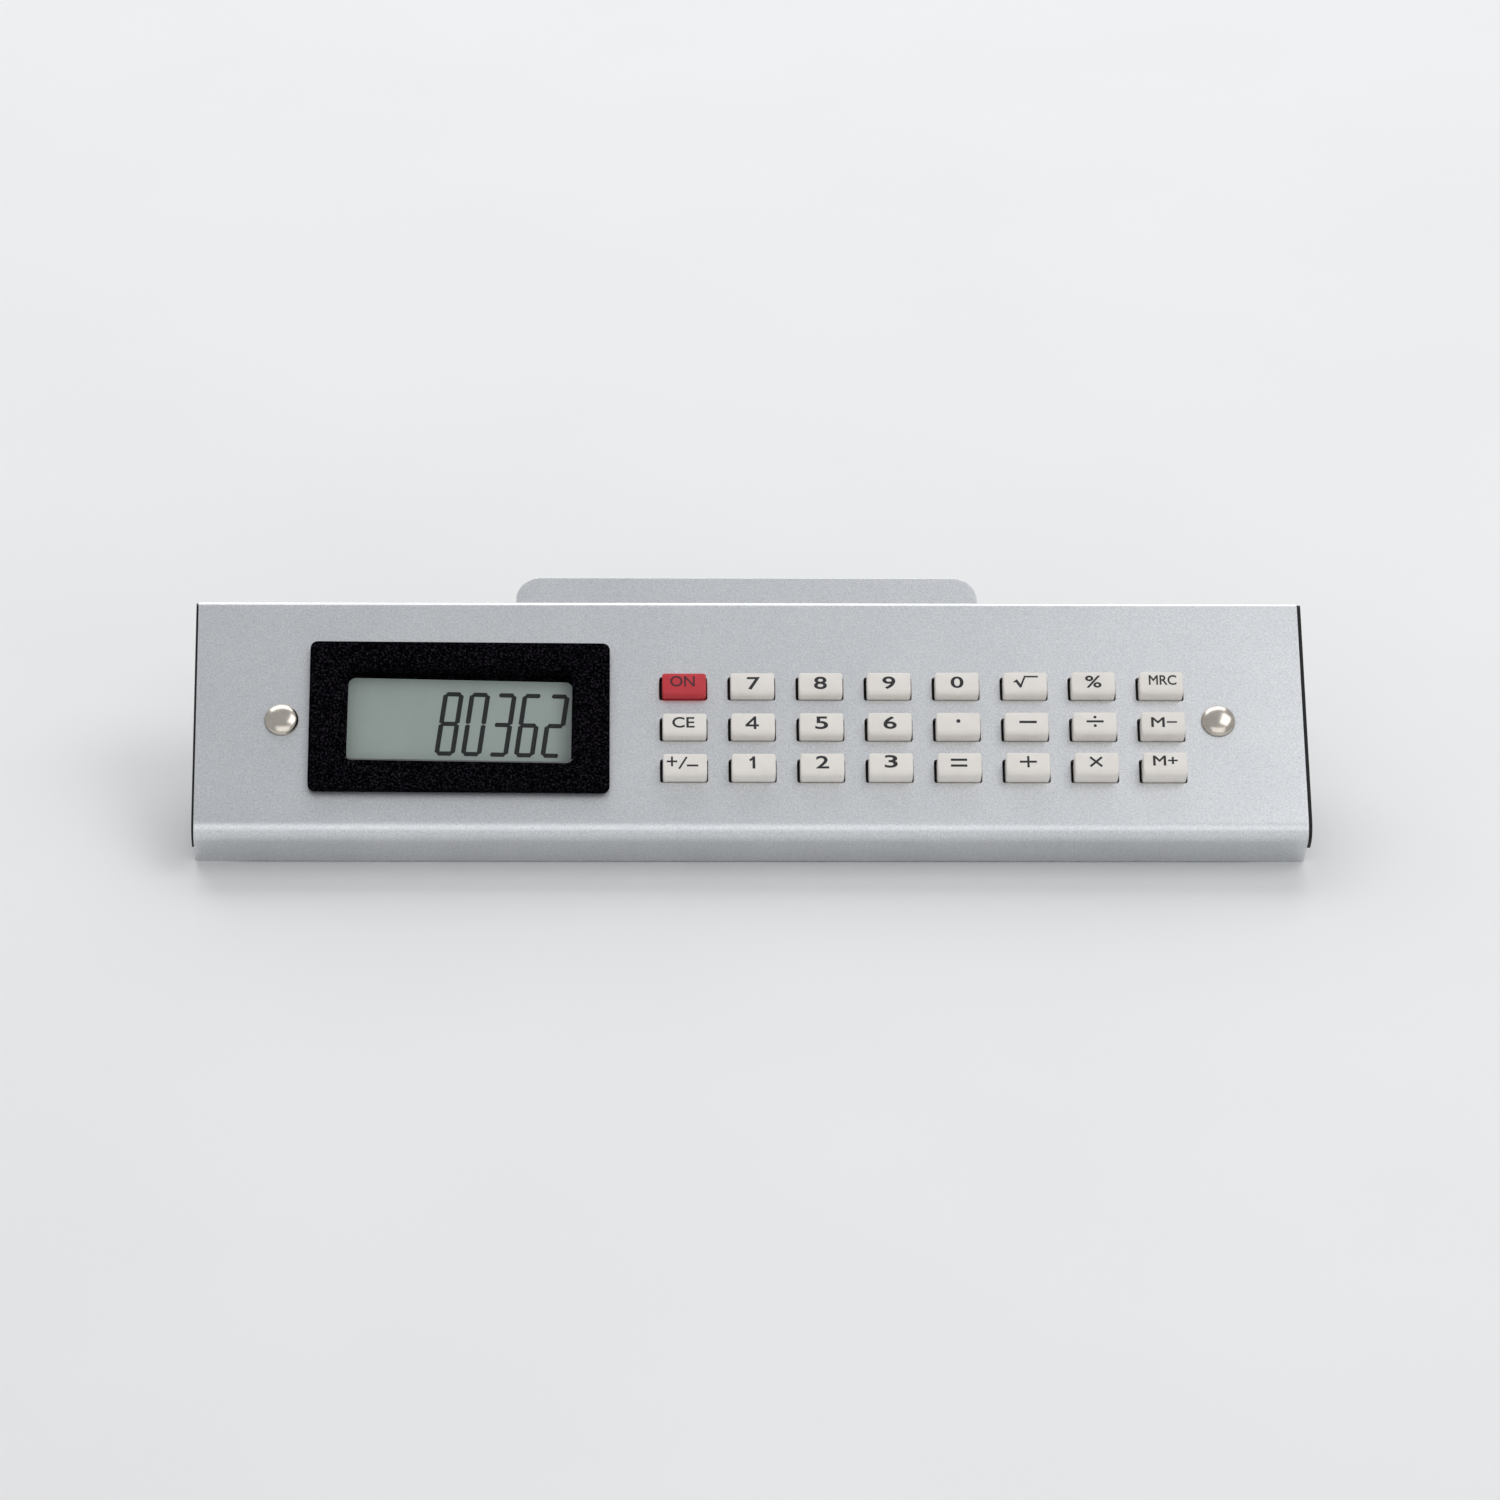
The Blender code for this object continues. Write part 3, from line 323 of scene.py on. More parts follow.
cover = begin(
    "cover",
    bpy.ops.mesh.primitive_plane_add,
    COVER_WIDTH,
    FACE_LENGTH,
    size=2,
    location=(0, FACE_LENGTH / 2, 0),
)
pick("EDGE", lambda p: p.y < NEAR)
pull(z=-LIP_HEIGHT)
pick("EDGE", lambda p: p.y > FACE_LENGTH - NEAR)
pull(z=-REAR_FLANGE)
pick("EDGE", lambda p: p.y < NEAR and p.z > -NEAR)
bpy.ops.mesh.bevel(offset=FRONT_BEND, segments=16, affect="EDGES")
pick("EDGE", lambda p: p.y > FACE_LENGTH - NEAR and p.z > -NEAR)
bpy.ops.mesh.bevel(offset=REAR_BEND, segments=10, affect="EDGES")
apply_modifier(cover, "SOLIDIFY", thickness=SHEET, offset=-1, use_even_offset=True)
close(cover)
first_hole = (FIRST_KEY[0] + KEY_HOLE_SHIFT, FIRST_KEY[1])
key_holes = rounded_plate(
    "key_holes", KEY_HOLE_WIDTH, KEY_HOLE_DEPTH, 0.4, 4, CUT_LOW, CUT_HIGH, first_hole
)
for count, step in ((KEY_COLUMNS, (KEY_PITCH_X, 0, 0)), (KEY_ROWS, (0, -KEY_PITCH_Y, 0))):
    apply_modifier(
        key_holes,
        "ARRAY",
        count=count,
        use_relative_offset=False,
        use_constant_offset=True,
        constant_offset_displace=step,
    )
combine(cover, key_holes)
bezel_hole = rounded_plate(
    "bezel_hole", BEZEL_HOLE_WIDTH, BEZEL_HOLE_DEPTH, 0.6, 4, CUT_LOW, CUT_HIGH, DISPLAY
)
combine(cover, bezel_hole)
for side in (-1, 1):
    combine(cover, round_punch(RIVET_HOLE_RADIUS, (side * RIVET_X, RIVET_Y, 0)))
soften(cover, 0.11)
place(cover, anodised)
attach(cover, "clip")
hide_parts("housing_cover")


# ---------------------------------------------------------------- rear tray
# Injection-moulded black ABS tray that closes the cover from below. Its end walls show past the
# ends of the cover as thin black strips. The two rivets clamp it between cover and clamp plate.

black_abs_and_gap_shade = Finish("black_abs_and_gap_shade", Specular_IOR_Level=0.25)
spark = black_abs_and_gap_shade.grain(0.28, 3)
black_abs_and_gap_shade.wear(
    black_abs_and_gap_shade.blend(spark, (0.006, 0.006, 0.007), (0.020, 0.020, 0.022)),
    spark * 0.2 + 0.5,
    spark,
    0.02,
)


def refinish(finish, *names):
    """Give CAD nodes that stay as they are their finish."""
    for name in names:
        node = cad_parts[name]
        node.data.materials.clear()
        node.data.materials.append(finish.material)


refinish(black_abs_and_gap_shade, "rear_tray")


# ---------------------------------------------------------------- display bezel
# Moulded black frame that snaps through the cover from above: a broad rim with rounded corners, a
# deep window well, and a skirt below the sheet. A lighter grey is painted on the rounded front edge
# of the well, on the faces turned up and back: a painted highlight.

BEZEL_WIDTH = 48.7
BEZEL_DEPTH = 26.7
BEZEL_CORNER = 1.2
BEZEL_BASE = 0.1
BEZEL_PROUD = 1.8
SKIRT_WIDTH = 41
SKIRT_DEPTH = 22
SKIRT_REACH = 2.0
WELL_WIDTH = 36.4
WELL_FRONT = -8.1
WELL_REAR = 8.7
WELL_ROUNDING = 0.62
# Width of the band on the well's front edge that gets the painted highlight
EDGE_HIGHLIGHT_WIDTH = 0.6
REBATE_WIDTH = 38.8
REBATE_DEPTH = 19.8
REBATE_TOP = -0.9
display_place = face @ Matrix.Translation((*DISPLAY, 0))
bezel_frame = display_place @ Matrix.Rotation(math.radians(-0.4), 4, "Z")
well_lean = math.radians(-0.6)

bezel_black_and_lcd_shade = Finish("bezel_black_and_lcd_shade", Specular_IOR_Level=0.0)
pits = bezel_black_and_lcd_shade.grain(0.34, 3)
bezel_black_and_lcd_shade.wear(
    bezel_black_and_lcd_shade.blend(
        bezel_black_and_lcd_shade.spread(pits, 0.5, 0.68), (0.0008, 0.0008, 0.0012), (0.021, 0.018, 0.024)
    ),
    pits * 0.25 + 0.45,
    pits,
    0.03,
)
# Lighter, glossier grey for the well's rounded front edge: a painted highlight where the edge faces
# up and back
well_edge_highlight = Finish("bezel_edge_painted_highlight", Specular_IOR_Level=0.5)
highlight_streaks = well_edge_highlight.grain(0.7, 3, (0.15, 1, 1))
well_edge_highlight.wear(
    well_edge_highlight.blend(highlight_streaks, (0.02, 0.02, 0.022), (0.10, 0.10, 0.105)),
    highlight_streaks * 0.2 + 0.25,
    highlight_streaks,
    0.01,
)


def step_to(width, depth, height, shift=0.0):
    """Extrude the selected flat face, then stretch it to this size, place and height."""
    pull()
    shape = bmesh.from_edit_mesh(bpy.context.object.data)
    ring = [v.co for v in shape.verts if v.select]
    wide = max(p.x for p in ring) - min(p.x for p in ring)
    deep = max(p.y for p in ring) - min(p.y for p in ring)
    middle_x = (max(p.x for p in ring) + min(p.x for p in ring)) / 2
    middle_y = (max(p.y for p in ring) + min(p.y for p in ring)) / 2
    old_height = ring[0].z
    bpy.ops.transform.resize(
        value=(width / wide, depth / deep, 1), center_override=(middle_x, middle_y, old_height)
    )
    bpy.ops.transform.translate(value=(0, shift, height - old_height))


bezel = rounded_plate("bezel", BEZEL_WIDTH, BEZEL_DEPTH, BEZEL_CORNER, 6, BEZEL_BASE, BEZEL_PROUD)
pick("FACE", lambda p: p.z > BEZEL_PROUD - NEAR)
bpy.ops.mesh.region_to_loop()
bpy.ops.mesh.bevel(offset=0.4, segments=4, affect="EDGES")
pick("FACE", lambda p: p.z < BEZEL_BASE + NEAR)
step_to(SKIRT_WIDTH, SKIRT_DEPTH, BEZEL_BASE)
pull(z=-SKIRT_REACH)
close(bezel)
well_middle = (0, (WELL_FRONT + WELL_REAR) / 2)
for width, depth, radius, low, high, middle in (
    (WELL_WIDTH, WELL_REAR - WELL_FRONT, 1.0, -3, 3, well_middle),
    (REBATE_WIDTH, REBATE_DEPTH, 0.2, -3, REBATE_TOP, (0, 0)),
):
    well = rounded_plate("well", width, depth, radius, 6, low, high, middle)
    bpy.ops.object.mode_set(mode="OBJECT")
    well.rotation_euler.z = well_lean
    combine(bezel, well)
bpy.ops.object.mode_set(mode="EDIT")
reach_x = WELL_WIDTH / 2 + 0.4
reach_y = WELL_REAR + 0.4
pick("EDGE", lambda p: p.z > BEZEL_PROUD - NEAR and abs(p.x) < reach_x and abs(p.y) < reach_y)
bpy.ops.mesh.bevel(offset=WELL_ROUNDING, segments=6, affect="EDGES")
bpy.ops.object.mode_set(mode="OBJECT")
soften(bezel, 0.08, 2, 50)
# Rounded faces on the well's front edge that turn up and back get the painted highlight
for side in bezel.data.polygons:
    from_edge = abs(side.center.y - WELL_FRONT + EDGE_HIGHLIGHT_WIDTH / 2)
    on_edge = from_edge < EDGE_HIGHLIGHT_WIDTH and side.center.z > BEZEL_PROUD - 0.7
    side.material_index = int(on_edge and side.normal.y > 0.2 and side.normal.z > 0.1)
place(bezel, bezel_black_and_lcd_shade, bezel_frame)
# Second finish: the painted highlight on the well's front edge
bezel.data.materials.append(well_edge_highlight.material)
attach(bezel, "clip")
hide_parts("display_bezel")


# ---------------------------------------------------------------- display
# A clear acrylic window sits in the bezel's rebate. Under it lies the twisted-nematic cell: two
# glasses with polariser film over a matt reflector, and a black sheet round the edge that shows only
# as a strip at the rear of the well: painted shade for the shadow of the well's rear wall.
# The digits are the cell's dark segments.

LCD_TOP = -2.2
LCD_WIDTH = 43.6
LCD_DEPTH = 21.6
OPENING_WIDTH = 36.6
OPENING_DEPTH = 17.8
OPENING_CORNER = 1.3
# Moves the sheet's opening forwards, so the black strip left at the rear is painted shade
OPENING_SHIFT_FOR_SHADE = -0.6
PRINT_THICKNESS = 0.02
lcd_frame = display_place @ Matrix.Rotation(math.radians(-1.3), 4, "Z")

polariser = Finish("lcd_polariser", Specular_IOR_Level=0.3, Roughness=0.35)
speckle = polariser.grain(0.25, 2)
polariser.wear(
    polariser.blend(
        speckle * 0.5 + polariser.grain(9, 2) * 0.5, (0.37, 0.44, 0.405), (0.51, 0.58, 0.545)
    ),
    None,
    speckle,
    0.002,
)
refinish(polariser, "lcd_glass")

acrylic = Finish("clear_acrylic")
facing = acrylic.node("ShaderNodeFresnel", None, {"IOR": 1.25})
see_through = acrylic.node("ShaderNodeBsdfTransparent")
sheen = acrylic.node("ShaderNodeBsdfGlossy", None, {"Roughness": 0.08})
mixed = acrylic.node("ShaderNodeMixShader", None, {0: facing, 1: see_through, 2: sheen})
acrylic.feed(acrylic.tree.nodes["Material Output"].inputs["Surface"], mixed)
refinish(acrylic, "display_window")

film = Finish("reflector_film", Metallic=0.6)
film.wear(
    film.blend(film.grain(0.4, 2), (0.55, 0.56, 0.54), (0.68, 0.69, 0.66)),
    film.grain(0.6) * 0.2 + 0.35,
)
refinish(film, "lcd_reflector")
rubber = Finish("silicone_rubber")
rubber.wear(
    rubber.blend(rubber.grain(1.5, 3), (0.20, 0.21, 0.23), (0.34, 0.35, 0.37)),
    rubber.grain(0.6) * 0.15 + 0.6,
    rubber.grain(0.3),
    0.01,
)
refinish(rubber, "zebra_strip", "keypad_mat")

segment_black = Finish("lcd_segment", Specular_IOR_Level=0.3)
segment_black.wear(
    segment_black.blend(segment_black.grain(0.5), (0.004, 0.005, 0.006), (0.014, 0.016, 0.017)),
    segment_black.grain(0.4) * 0.1 + 0.4,
)

DIGIT_HEIGHT = 10.85
DIGIT_WIDTH = 2.55
DIGIT_PITCH = 4.3
STROKE = 0.78
GAP = 0.16
SLANT = math.tan(math.radians(6.3))
# Each digit's lit segments: top, middle, bottom, then left and right of the upper and lower half.
LIT = {
    "8": "tmb" + "UVLR",
    "0": "tb" + "UVLR",
    "3": "tmb" + "VR",
    "6": "tmb" + "ULR",
    "2": "tmb" + "VL",
}
SEGMENT_PLACES = {
    "t": (0, DIGIT_HEIGHT / 2, 0),
    "m": (0, 0, 0),
    "b": (0, -DIGIT_HEIGHT / 2, 0),
    "U": (-DIGIT_WIDTH / 2, DIGIT_HEIGHT / 4, 90),
    "V": (DIGIT_WIDTH / 2, DIGIT_HEIGHT / 4, 90),
    "L": (-DIGIT_WIDTH / 2, -DIGIT_HEIGHT / 4, 90),
    "R": (DIGIT_WIDTH / 2, -DIGIT_HEIGHT / 4, 90),
}


def add_segment(length):
    """One six-sided segment of the display, pointed at both ends."""
    segment = begin(
        "segment",
        bpy.ops.mesh.primitive_circle_add,
        vertices=6,
        radius=STROKE / math.sqrt(3),
        fill_type="NGON",
        rotation=(0, 0, math.radians(30)),
    )
    for side in (-1, 1):
        pick("VERT", lambda p: p.x * side > NEAR)
        bpy.ops.transform.translate(value=(side * (length - STROKE - GAP) / 2, 0, 0))
    bpy.ops.mesh.select_all(action="SELECT")
    pull(z=PRINT_THICKNESS)
    close(segment)
    return segment


segments = []
for index, digit in enumerate("80362"):
    for name in LIT[digit]:
        x, y, turn = SEGMENT_PLACES[name]
        segment = add_segment(DIGIT_HEIGHT / 2 if turn else DIGIT_WIDTH)
        segment.data.transform(
            Matrix.Translation((x + SLANT * y + (index - 4) * DIGIT_PITCH, y, 0))
            @ Matrix(((1, SLANT, 0, 0), (0, 1, 0, 0), (0, 0, 1, 0), (0, 0, 0, 1)))
            @ Matrix.Rotation(math.radians(turn), 4, "Z")
        )
        segments.append(segment)
bpy.ops.object.select_all(action="DESELECT")
for segment in segments:
    segment.select_set(True)
bpy.ops.object.join()
digits = bpy.context.object
digits.name = digits.data.name = "lcd_digits"
LAST_DIGIT = (15.5, 0.25, LCD_TOP + 0.015)
place(digits, segment_black, lcd_frame @ Matrix.Translation(LAST_DIGIT))
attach(digits, "clip")

# Black sheet on the cell. The strip it leaves at the rear of the well is painted shade where the
# well's rear wall shades the cell
mask_top = LCD_TOP + PRINT_THICKNESS
mask = rounded_plate("lcd_border_and_painted_shade", LCD_WIDTH, LCD_DEPTH, 0.3, 2, LCD_TOP + 0.002, mask_top)
close(mask)
opening = rounded_plate(
    "opening", OPENING_WIDTH, OPENING_DEPTH, OPENING_CORNER, 6, -3, -1, (0, OPENING_SHIFT_FOR_SHADE)
)
combine(mask, opening)
place(mask, bezel_black_and_lcd_shade, lcd_frame)
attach(mask, "clip")


# ---------------------------------------------------------------- rivets
# Two semi-tubular rivets with low domed heads, nickel plated and polished. They run through cover,
# spacer tube, tray and clamp plate, and their rolled tails show underneath.

nickel = Finish("polished_nickel", Metallic=1.0)
tarnish = nickel.grain(1.6, 3)
nickel.wear(
    nickel.blend(tarnish, (0.52, 0.465, 0.41), (0.74, 0.69, 0.615)),
    nickel.grain(0.5) * 0.1 + 0.16,
    nickel.grain(0.9, 2),
    0.004,
)
DOME_RADIUS = 2.8
DOME_HEIGHT = 1.2
DOME_BASE = 0.1
DOME_RINGS = 15
DOME_STEP = math.radians(6)
SHANK_RADIUS = 1.2
TAIL_RADIUS = 2.0
TAIL_TOP = -11.1


def turned(name, rings, middle=(0, 0)):
    """A round piece built up from rings of (radius, height), the first one at the bottom."""
    radius, height = rings[0]
    piece = begin(
        name,
        bpy.ops.mesh.primitive_circle_add,
        vertices=48,
        radius=radius,
        fill_type="NGON",
        location=(*middle, height),
    )
    for radius, height in rings[1:]:
        bpy.ops.mesh.select_mode(type="FACE")
        step_to(2 * radius, 2 * radius, height)
    close(piece)
    return piece


for side, word in ((-1, "left"), (1, "right")):
    turns = [DOME_STEP * number for number in range(DOME_RINGS)]
    dome = [
        (DOME_RADIUS * math.cos(turn), DOME_BASE + DOME_HEIGHT * math.sin(turn)) for turn in turns
    ]
    tail = [
        (TAIL_RADIUS - 0.7, TAIL_TOP - 1.1),
        (TAIL_RADIUS - 0.3, TAIL_TOP - 1.0),
        (TAIL_RADIUS, TAIL_TOP - 0.6),
        (TAIL_RADIUS, TAIL_TOP),
        (SHANK_RADIUS, TAIL_TOP),
        (SHANK_RADIUS, DOME_BASE),
    ]
    rivet = turned("rivet_head_" + word, tail + dome, (side * RIVET_X, RIVET_Y))
    bpy.ops.object.shade_smooth_by_angle(angle=math.radians(45))
    place(rivet, nickel)
    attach(rivet, "clip")
    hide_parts("rivet_" + word)

zinc = Finish("zinc_plated_steel", Metallic=1.0)
spangle = zinc.grain(2.2, 3)
zinc.wear(
    zinc.blend(spangle, (0.48, 0.49, 0.50), (0.66, 0.67, 0.69)),
    zinc.grain(0.8, 3) * 0.25 + 0.22,
    zinc.grain(0.4, 2),
    0.004,
)
refinish(zinc, "rivet_spacer_left", "rivet_spacer_right")


# ---------------------------------------------------------------- keys
# Moulded caps in off-white ABS, the ON key in red. Each has a flat top that rolls over in front, a
# flange that keeps it under the cover, and a plunger on the rubber mat. Flange and plunger are
# coloured black as painted shade, so the gaps round each cap read dark. Legends are printed.

KEY_WIDTH = 7.1
KEY_DEPTH = 3.85
KEY_CORNER = 0.42
KEY_ROLL = 0.85
KEY_EDGE = 0.22
ROLL_STEP = math.radians(15)
ROLL_RINGS = 7
FLANGE_WIDTH = 8.6
FLANGE_DEPTH = 5.4
FLANGE_TOP = -1.3
FLANGE_BOTTOM = -2.1
PLUNGER_WIDTH = 2.4
PLUNGER_BOTTOM = -2.5
KEY_SIDESTEP = 0.2
LOWEST_KEY = 1.8
RISE_PER_ROW = 0.3
RISE_PER_COLUMN = 0.1
# Printed characters: text, width, height, and the place of their middle on the key.
CHARACTERS = {
    "on": ("ON", 4.0, 1.95, -0.27, 0.42),
    "7": ("7", 2.1, 2.3, 0.18, 0.0),
    "8": ("8", 2.1, 2.3, -0.05, 0.05),
    "9": ("9", 2.1, 2.3, 0.0, 0.05),
    "0": ("0", 2.1, 2.1, 0.0, 0.1),
    "percent": ("%", 2.65, 2.2, 0.0, 0.15),
    "mrc": ("MRC", 4.5, 1.8, 0.2, 0.42),
    "ce": ("CE", 3.6, 1.95, -0.2, 0.25),
    "5": ("5", 2.1, 2.3, 0.0, 0.1),
    "6": ("6", 2.15, 2.3, 0.0, 0.1),
    "m_minus": ("M−", 4.2, 1.8, 0.1, 0.05),
    "2": ("2", 2.1, 2.3, 0.0, 0.3),
    "3": ("3", 2.1, 2.3, 0.0, 0.4),
    "m_plus": ("M+", 4.0, 1.8, 0.0, 0.4),
}
# Printed signs: strokes from one (x, y) on the key to another, and their weight.
SIGNS = {
    "root": (
        (-1.75, 0.15, -1.4, 0.3, 0.26),
        (-1.4, 0.3, -0.8, -0.65, 0.44),
        (-0.75, -0.65, -0.05, 1.1, 0.3),
        (-0.05, 1.1, 1.95, 1.1, 0.28),
    ),
    "point": ((0.0, 0.35, 0.0, 0.35, 0.66),),
    "minus": ((-1.0, 0.15, 1.4, 0.15, 0.42),),
    "divide": (
        (-1.2, 0.22, 1.2, 0.22, 0.37),
        (0.0, 1.0, 0.0, 1.0, 0.5),
        (0.0, -0.56, 0.0, -0.56, 0.5),
    ),
    "sign": (
        (-2.83, 0.5, -1.42, 0.5, 0.31),
        (-2.12, -0.23, -2.12, 1.23, 0.31),
        (-0.9, -0.7, 0.2, 1.2, 0.3),
        (0.45, -0.23, 1.95, -0.23, 0.33),
    ),
    "1": ((0.0, -0.6, 0.0, 1.15, 0.44), (-0.5, 0.75, 0.0, 1.15, 0.36)),
    "4": (
        (0.3, -0.8, 0.3, 1.08, 0.42),
        (-1.02, -0.25, 0.2, 1.05, 0.38),
        (-1.05, -0.35, 0.75, -0.35, 0.36),
    ),
    "equals": ((-1.25, 0.66, 1.0, 0.66, 0.4), (-1.25, -0.4, 1.0, -0.4, 0.4)),
    "plus": ((-1.2, 0.27, 1.2, 0.27, 0.36), (0.0, -0.58, 0.0, 1.12, 0.36)),
    "multiply": ((-0.95, -0.5, 0.7, 0.95, 0.36), (-0.95, 0.95, 0.7, -0.5, 0.36)),
}
DIGIT_BOLDNESS = 0.016
LETTER_BOLDNESS = 0.014
INK_THICKNESS = 0.02
KEY_NAMES = (
    ("on", "7", "8", "9", "0", "root", "percent", "mrc"),
    ("ce", "4", "5", "6", "point", "minus", "divide", "m_minus"),
    ("sign", "1", "2", "3", "equals", "plus", "multiply", "m_plus"),
)


def moulded(name, dark, light):
    """A satin moulded plastic with a soft mottle and a faint texture."""
    finish = Finish(name, Specular_IOR_Level=0.45)
    mottle = finish.grain(2.4, 3)
    dirt = finish.spread(finish.grain(5.5, 4), 0.5, 0.85)
    finish.wear(
        finish.blend(mottle * 0.6 + dirt * 0.4, light, dark),
        finish.grain(0.5) * 0.15 + 0.4,
        finish.grain(0.3, 2),
        0.006,
    )
    return finish


key_white = moulded("off_white_key", (0.76, 0.715, 0.67), (0.89, 0.85, 0.80))
key_red = moulded("red_key", (0.44, 0.018, 0.030), (0.62, 0.040, 0.055))
legend_ink = Finish("legend_ink")
legend_ink.wear(
    legend_ink.blend(legend_ink.grain(0.6), (0.006, 0.006, 0.008), (0.022, 0.022, 0.026)),
    legend_ink.grain(0.4) * 0.15 + 0.45,
)
red_key_ink = Finish("red_key_ink")
red_key_ink.wear(
    red_key_ink.blend(red_key_ink.grain(0.6), (0.05, 0.006, 0.012), (0.10, 0.012, 0.02)),
    red_key_ink.grain(0.4) * 0.15 + 0.45,
)


def add_key(name, proud):
    """One key about its own middle, standing this far proud of the face."""
    key = begin(
        "cap_" + name,
        bpy.ops.mesh.primitive_plane_add,
        KEY_WIDTH,
        KEY_DEPTH,
        size=2,
        location=(0, 0, FLANGE_TOP),
    )
    pick("VERT", lambda p: True)
    bpy.ops.mesh.bevel(offset=KEY_CORNER, segments=4, affect="VERTICES")
    bpy.ops.mesh.select_mode(type="FACE")
    bpy.ops.mesh.select_all(action="SELECT")
    step_to(FLANGE_WIDTH, FLANGE_DEPTH, FLANGE_TOP)
    step_to(FLANGE_WIDTH, FLANGE_DEPTH, FLANGE_BOTTOM)
    step_to(PLUNGER_WIDTH, PLUNGER_WIDTH, FLANGE_BOTTOM)
    step_to(PLUNGER_WIDTH, PLUNGER_WIDTH, PLUNGER_BOTTOM)
    pick("FACE", lambda p: p.z > FLANGE_TOP - NEAR and p.xy.length < 0.1)
    setback = 0.0
    for turn in (ROLL_STEP * number for number in range(ROLL_RINGS)):
        below = KEY_ROLL * (1 - math.sin(turn))
        front = KEY_ROLL * (1 - math.cos(turn))
        rise = max(0.0, KEY_EDGE - below)
        edge = KEY_EDGE - math.sqrt(KEY_EDGE**2 - rise**2)
        step_to(
            KEY_WIDTH - 2 * edge,
            KEY_DEPTH - edge - front,
            proud - below,
            (front - edge) / 2 - setback,
        )
        setback = (front - edge) / 2
    close(key)
    bpy.ops.object.shade_smooth_by_angle(angle=math.radians(50))
    # Faces below the flange's top get the second, black finish: painted shade for the gaps round the
    # cap
    for side in key.data.polygons:
        side.material_index = int(side.center.z < FLANGE_TOP + NEAR)
    return key


def draw_sign(strokes):
    """A sign drawn with straight strokes; a stroke without length is a round dot."""
    marks = []
    for x, y, end_x, end_y, weight in strokes:
        length = math.hypot(end_x - x, end_y - y)
        if length:
            add, width, settings = bpy.ops.mesh.primitive_plane_add, length + weight, {"size": 2}
        else:
            add, width, settings = bpy.ops.mesh.primitive_circle_add, weight, {"fill_type": "NGON"}
        mark = begin("mark", add, width, weight, **settings)
        bpy.ops.mesh.select_all(action="SELECT")
        pull(z=1)
        close(mark)
        mark.data.transform(
            Matrix.Translation(((x + end_x) / 2, (y + end_y) / 2, 0))
            @ Matrix.Rotation(math.atan2(end_y - y, end_x - x), 4, "Z")
        )
        marks.append(mark)
    sign = marks[0]
    for mark in marks[1:]:
        combine(sign, mark, "UNION")
    sign.data.transform(Matrix.Diagonal((1, 1, INK_THICKNESS, 1)))
    return sign


def draw_characters(text, width, height, across, rearward):
    """Printed characters of this size, with their middle at this place."""
    bpy.ops.object.select_all(action="DESELECT")
    bpy.ops.object.text_add()
    characters = bpy.context.object
    characters.data.body = text
    characters.data.extrude = 0.5
    characters.data.resolution_u = 6
    bpy.ops.object.convert(target="MESH")
    characters = bpy.context.object
    close(characters)
    bpy.ops.object.mode_set(mode="EDIT")
    bpy.ops.mesh.select_all(action="SELECT")
    boldness = DIGIT_BOLDNESS if text.isdigit() else LETTER_BOLDNESS
    bpy.ops.transform.shrink_fatten(value=boldness, use_even_offset=True)
    bpy.ops.object.mode_set(mode="OBJECT")
    corners = [Vector(corner) for corner in characters.bound_box]
    low = Vector(min(c[i] for c in corners) for i in range(3))
    high = Vector(max(c[i] for c in corners) for i in range(3))
    size = high - low
    characters.data.transform(
        Matrix.Translation((across, rearward, INK_THICKNESS / 2))
        @ Matrix.Diagonal((width / size.x, height / size.y, INK_THICKNESS / size.z, 1))
        @ Matrix.Translation(-(low + high) / 2)
    )
    return characters


for row, names in enumerate(KEY_NAMES):
    for column, name in enumerate(names):
        proud = LOWEST_KEY + RISE_PER_ROW * row + RISE_PER_COLUMN * column
        x = FIRST_KEY[0] + KEY_SIDESTEP + column * KEY_PITCH_X
        y = FIRST_KEY[1] - row * KEY_PITCH_Y
        key_frame = face @ Matrix.Translation((x, y, 0))
        cap = add_key(name, proud)
        place(cap, key_red if name == "on" else key_white, key_frame)
        # Black for the flange and plunger: painted shade in the gaps round the key
        cap.data.materials.append(black_abs_and_gap_shade.material)
        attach(cap, "key_" + name)
        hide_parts("key_" + name)
        legend = draw_sign(SIGNS[name]) if name in SIGNS else draw_characters(*CHARACTERS[name])
        legend.name = legend.data.name = "legend_" + name
        close(legend)
        on_top = key_frame @ Matrix.Translation((0, 0, proud))
        place(legend, red_key_ink if name == "on" else legend_ink, on_top)
        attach(legend, "key_" + name)


# ---------------------------------------------------------------- circuit board
# Green glass-fibre laminate with etched tracks under the mat. The chip is glued on and covered with
# a drop of black epoxy. Four zinc-plated screws hold the board to the tray's bosses.

laminate = Finish("board_laminate")
tracks = laminate.node(
    "ShaderNodeTexBrick",
    {"offset": 0.5},
    {"Vector": laminate.here, "Scale": 1 / (9 * MM), "Mortar Size": 0.03, "Mortar Smooth": 0.1},
    output=1,
)
mottled_tracks = tracks * 0.8 + laminate.grain(1.2) * 0.2
laminate.wear(
    laminate.blend(mottled_tracks, (0.02, 0.13, 0.06), (0.10, 0.26, 0.10)),
    laminate.grain(0.8) * 0.2 + 0.3,
    tracks,
    0.03,
)
refinish(laminate, "circuit_board")
epoxy = Finish("black_epoxy", Coat_Weight=0.4)
epoxy.wear(
    epoxy.blend(epoxy.grain(1.8, 3), (0.010, 0.010, 0.011), (0.035, 0.035, 0.037)),
    epoxy.grain(1.2) * 0.2 + 0.2,
    epoxy.grain(1.5),
    0.03,
)
refinish(epoxy, "chip_blob", "board_resistor")
ceramic = Finish("tan_ceramic")
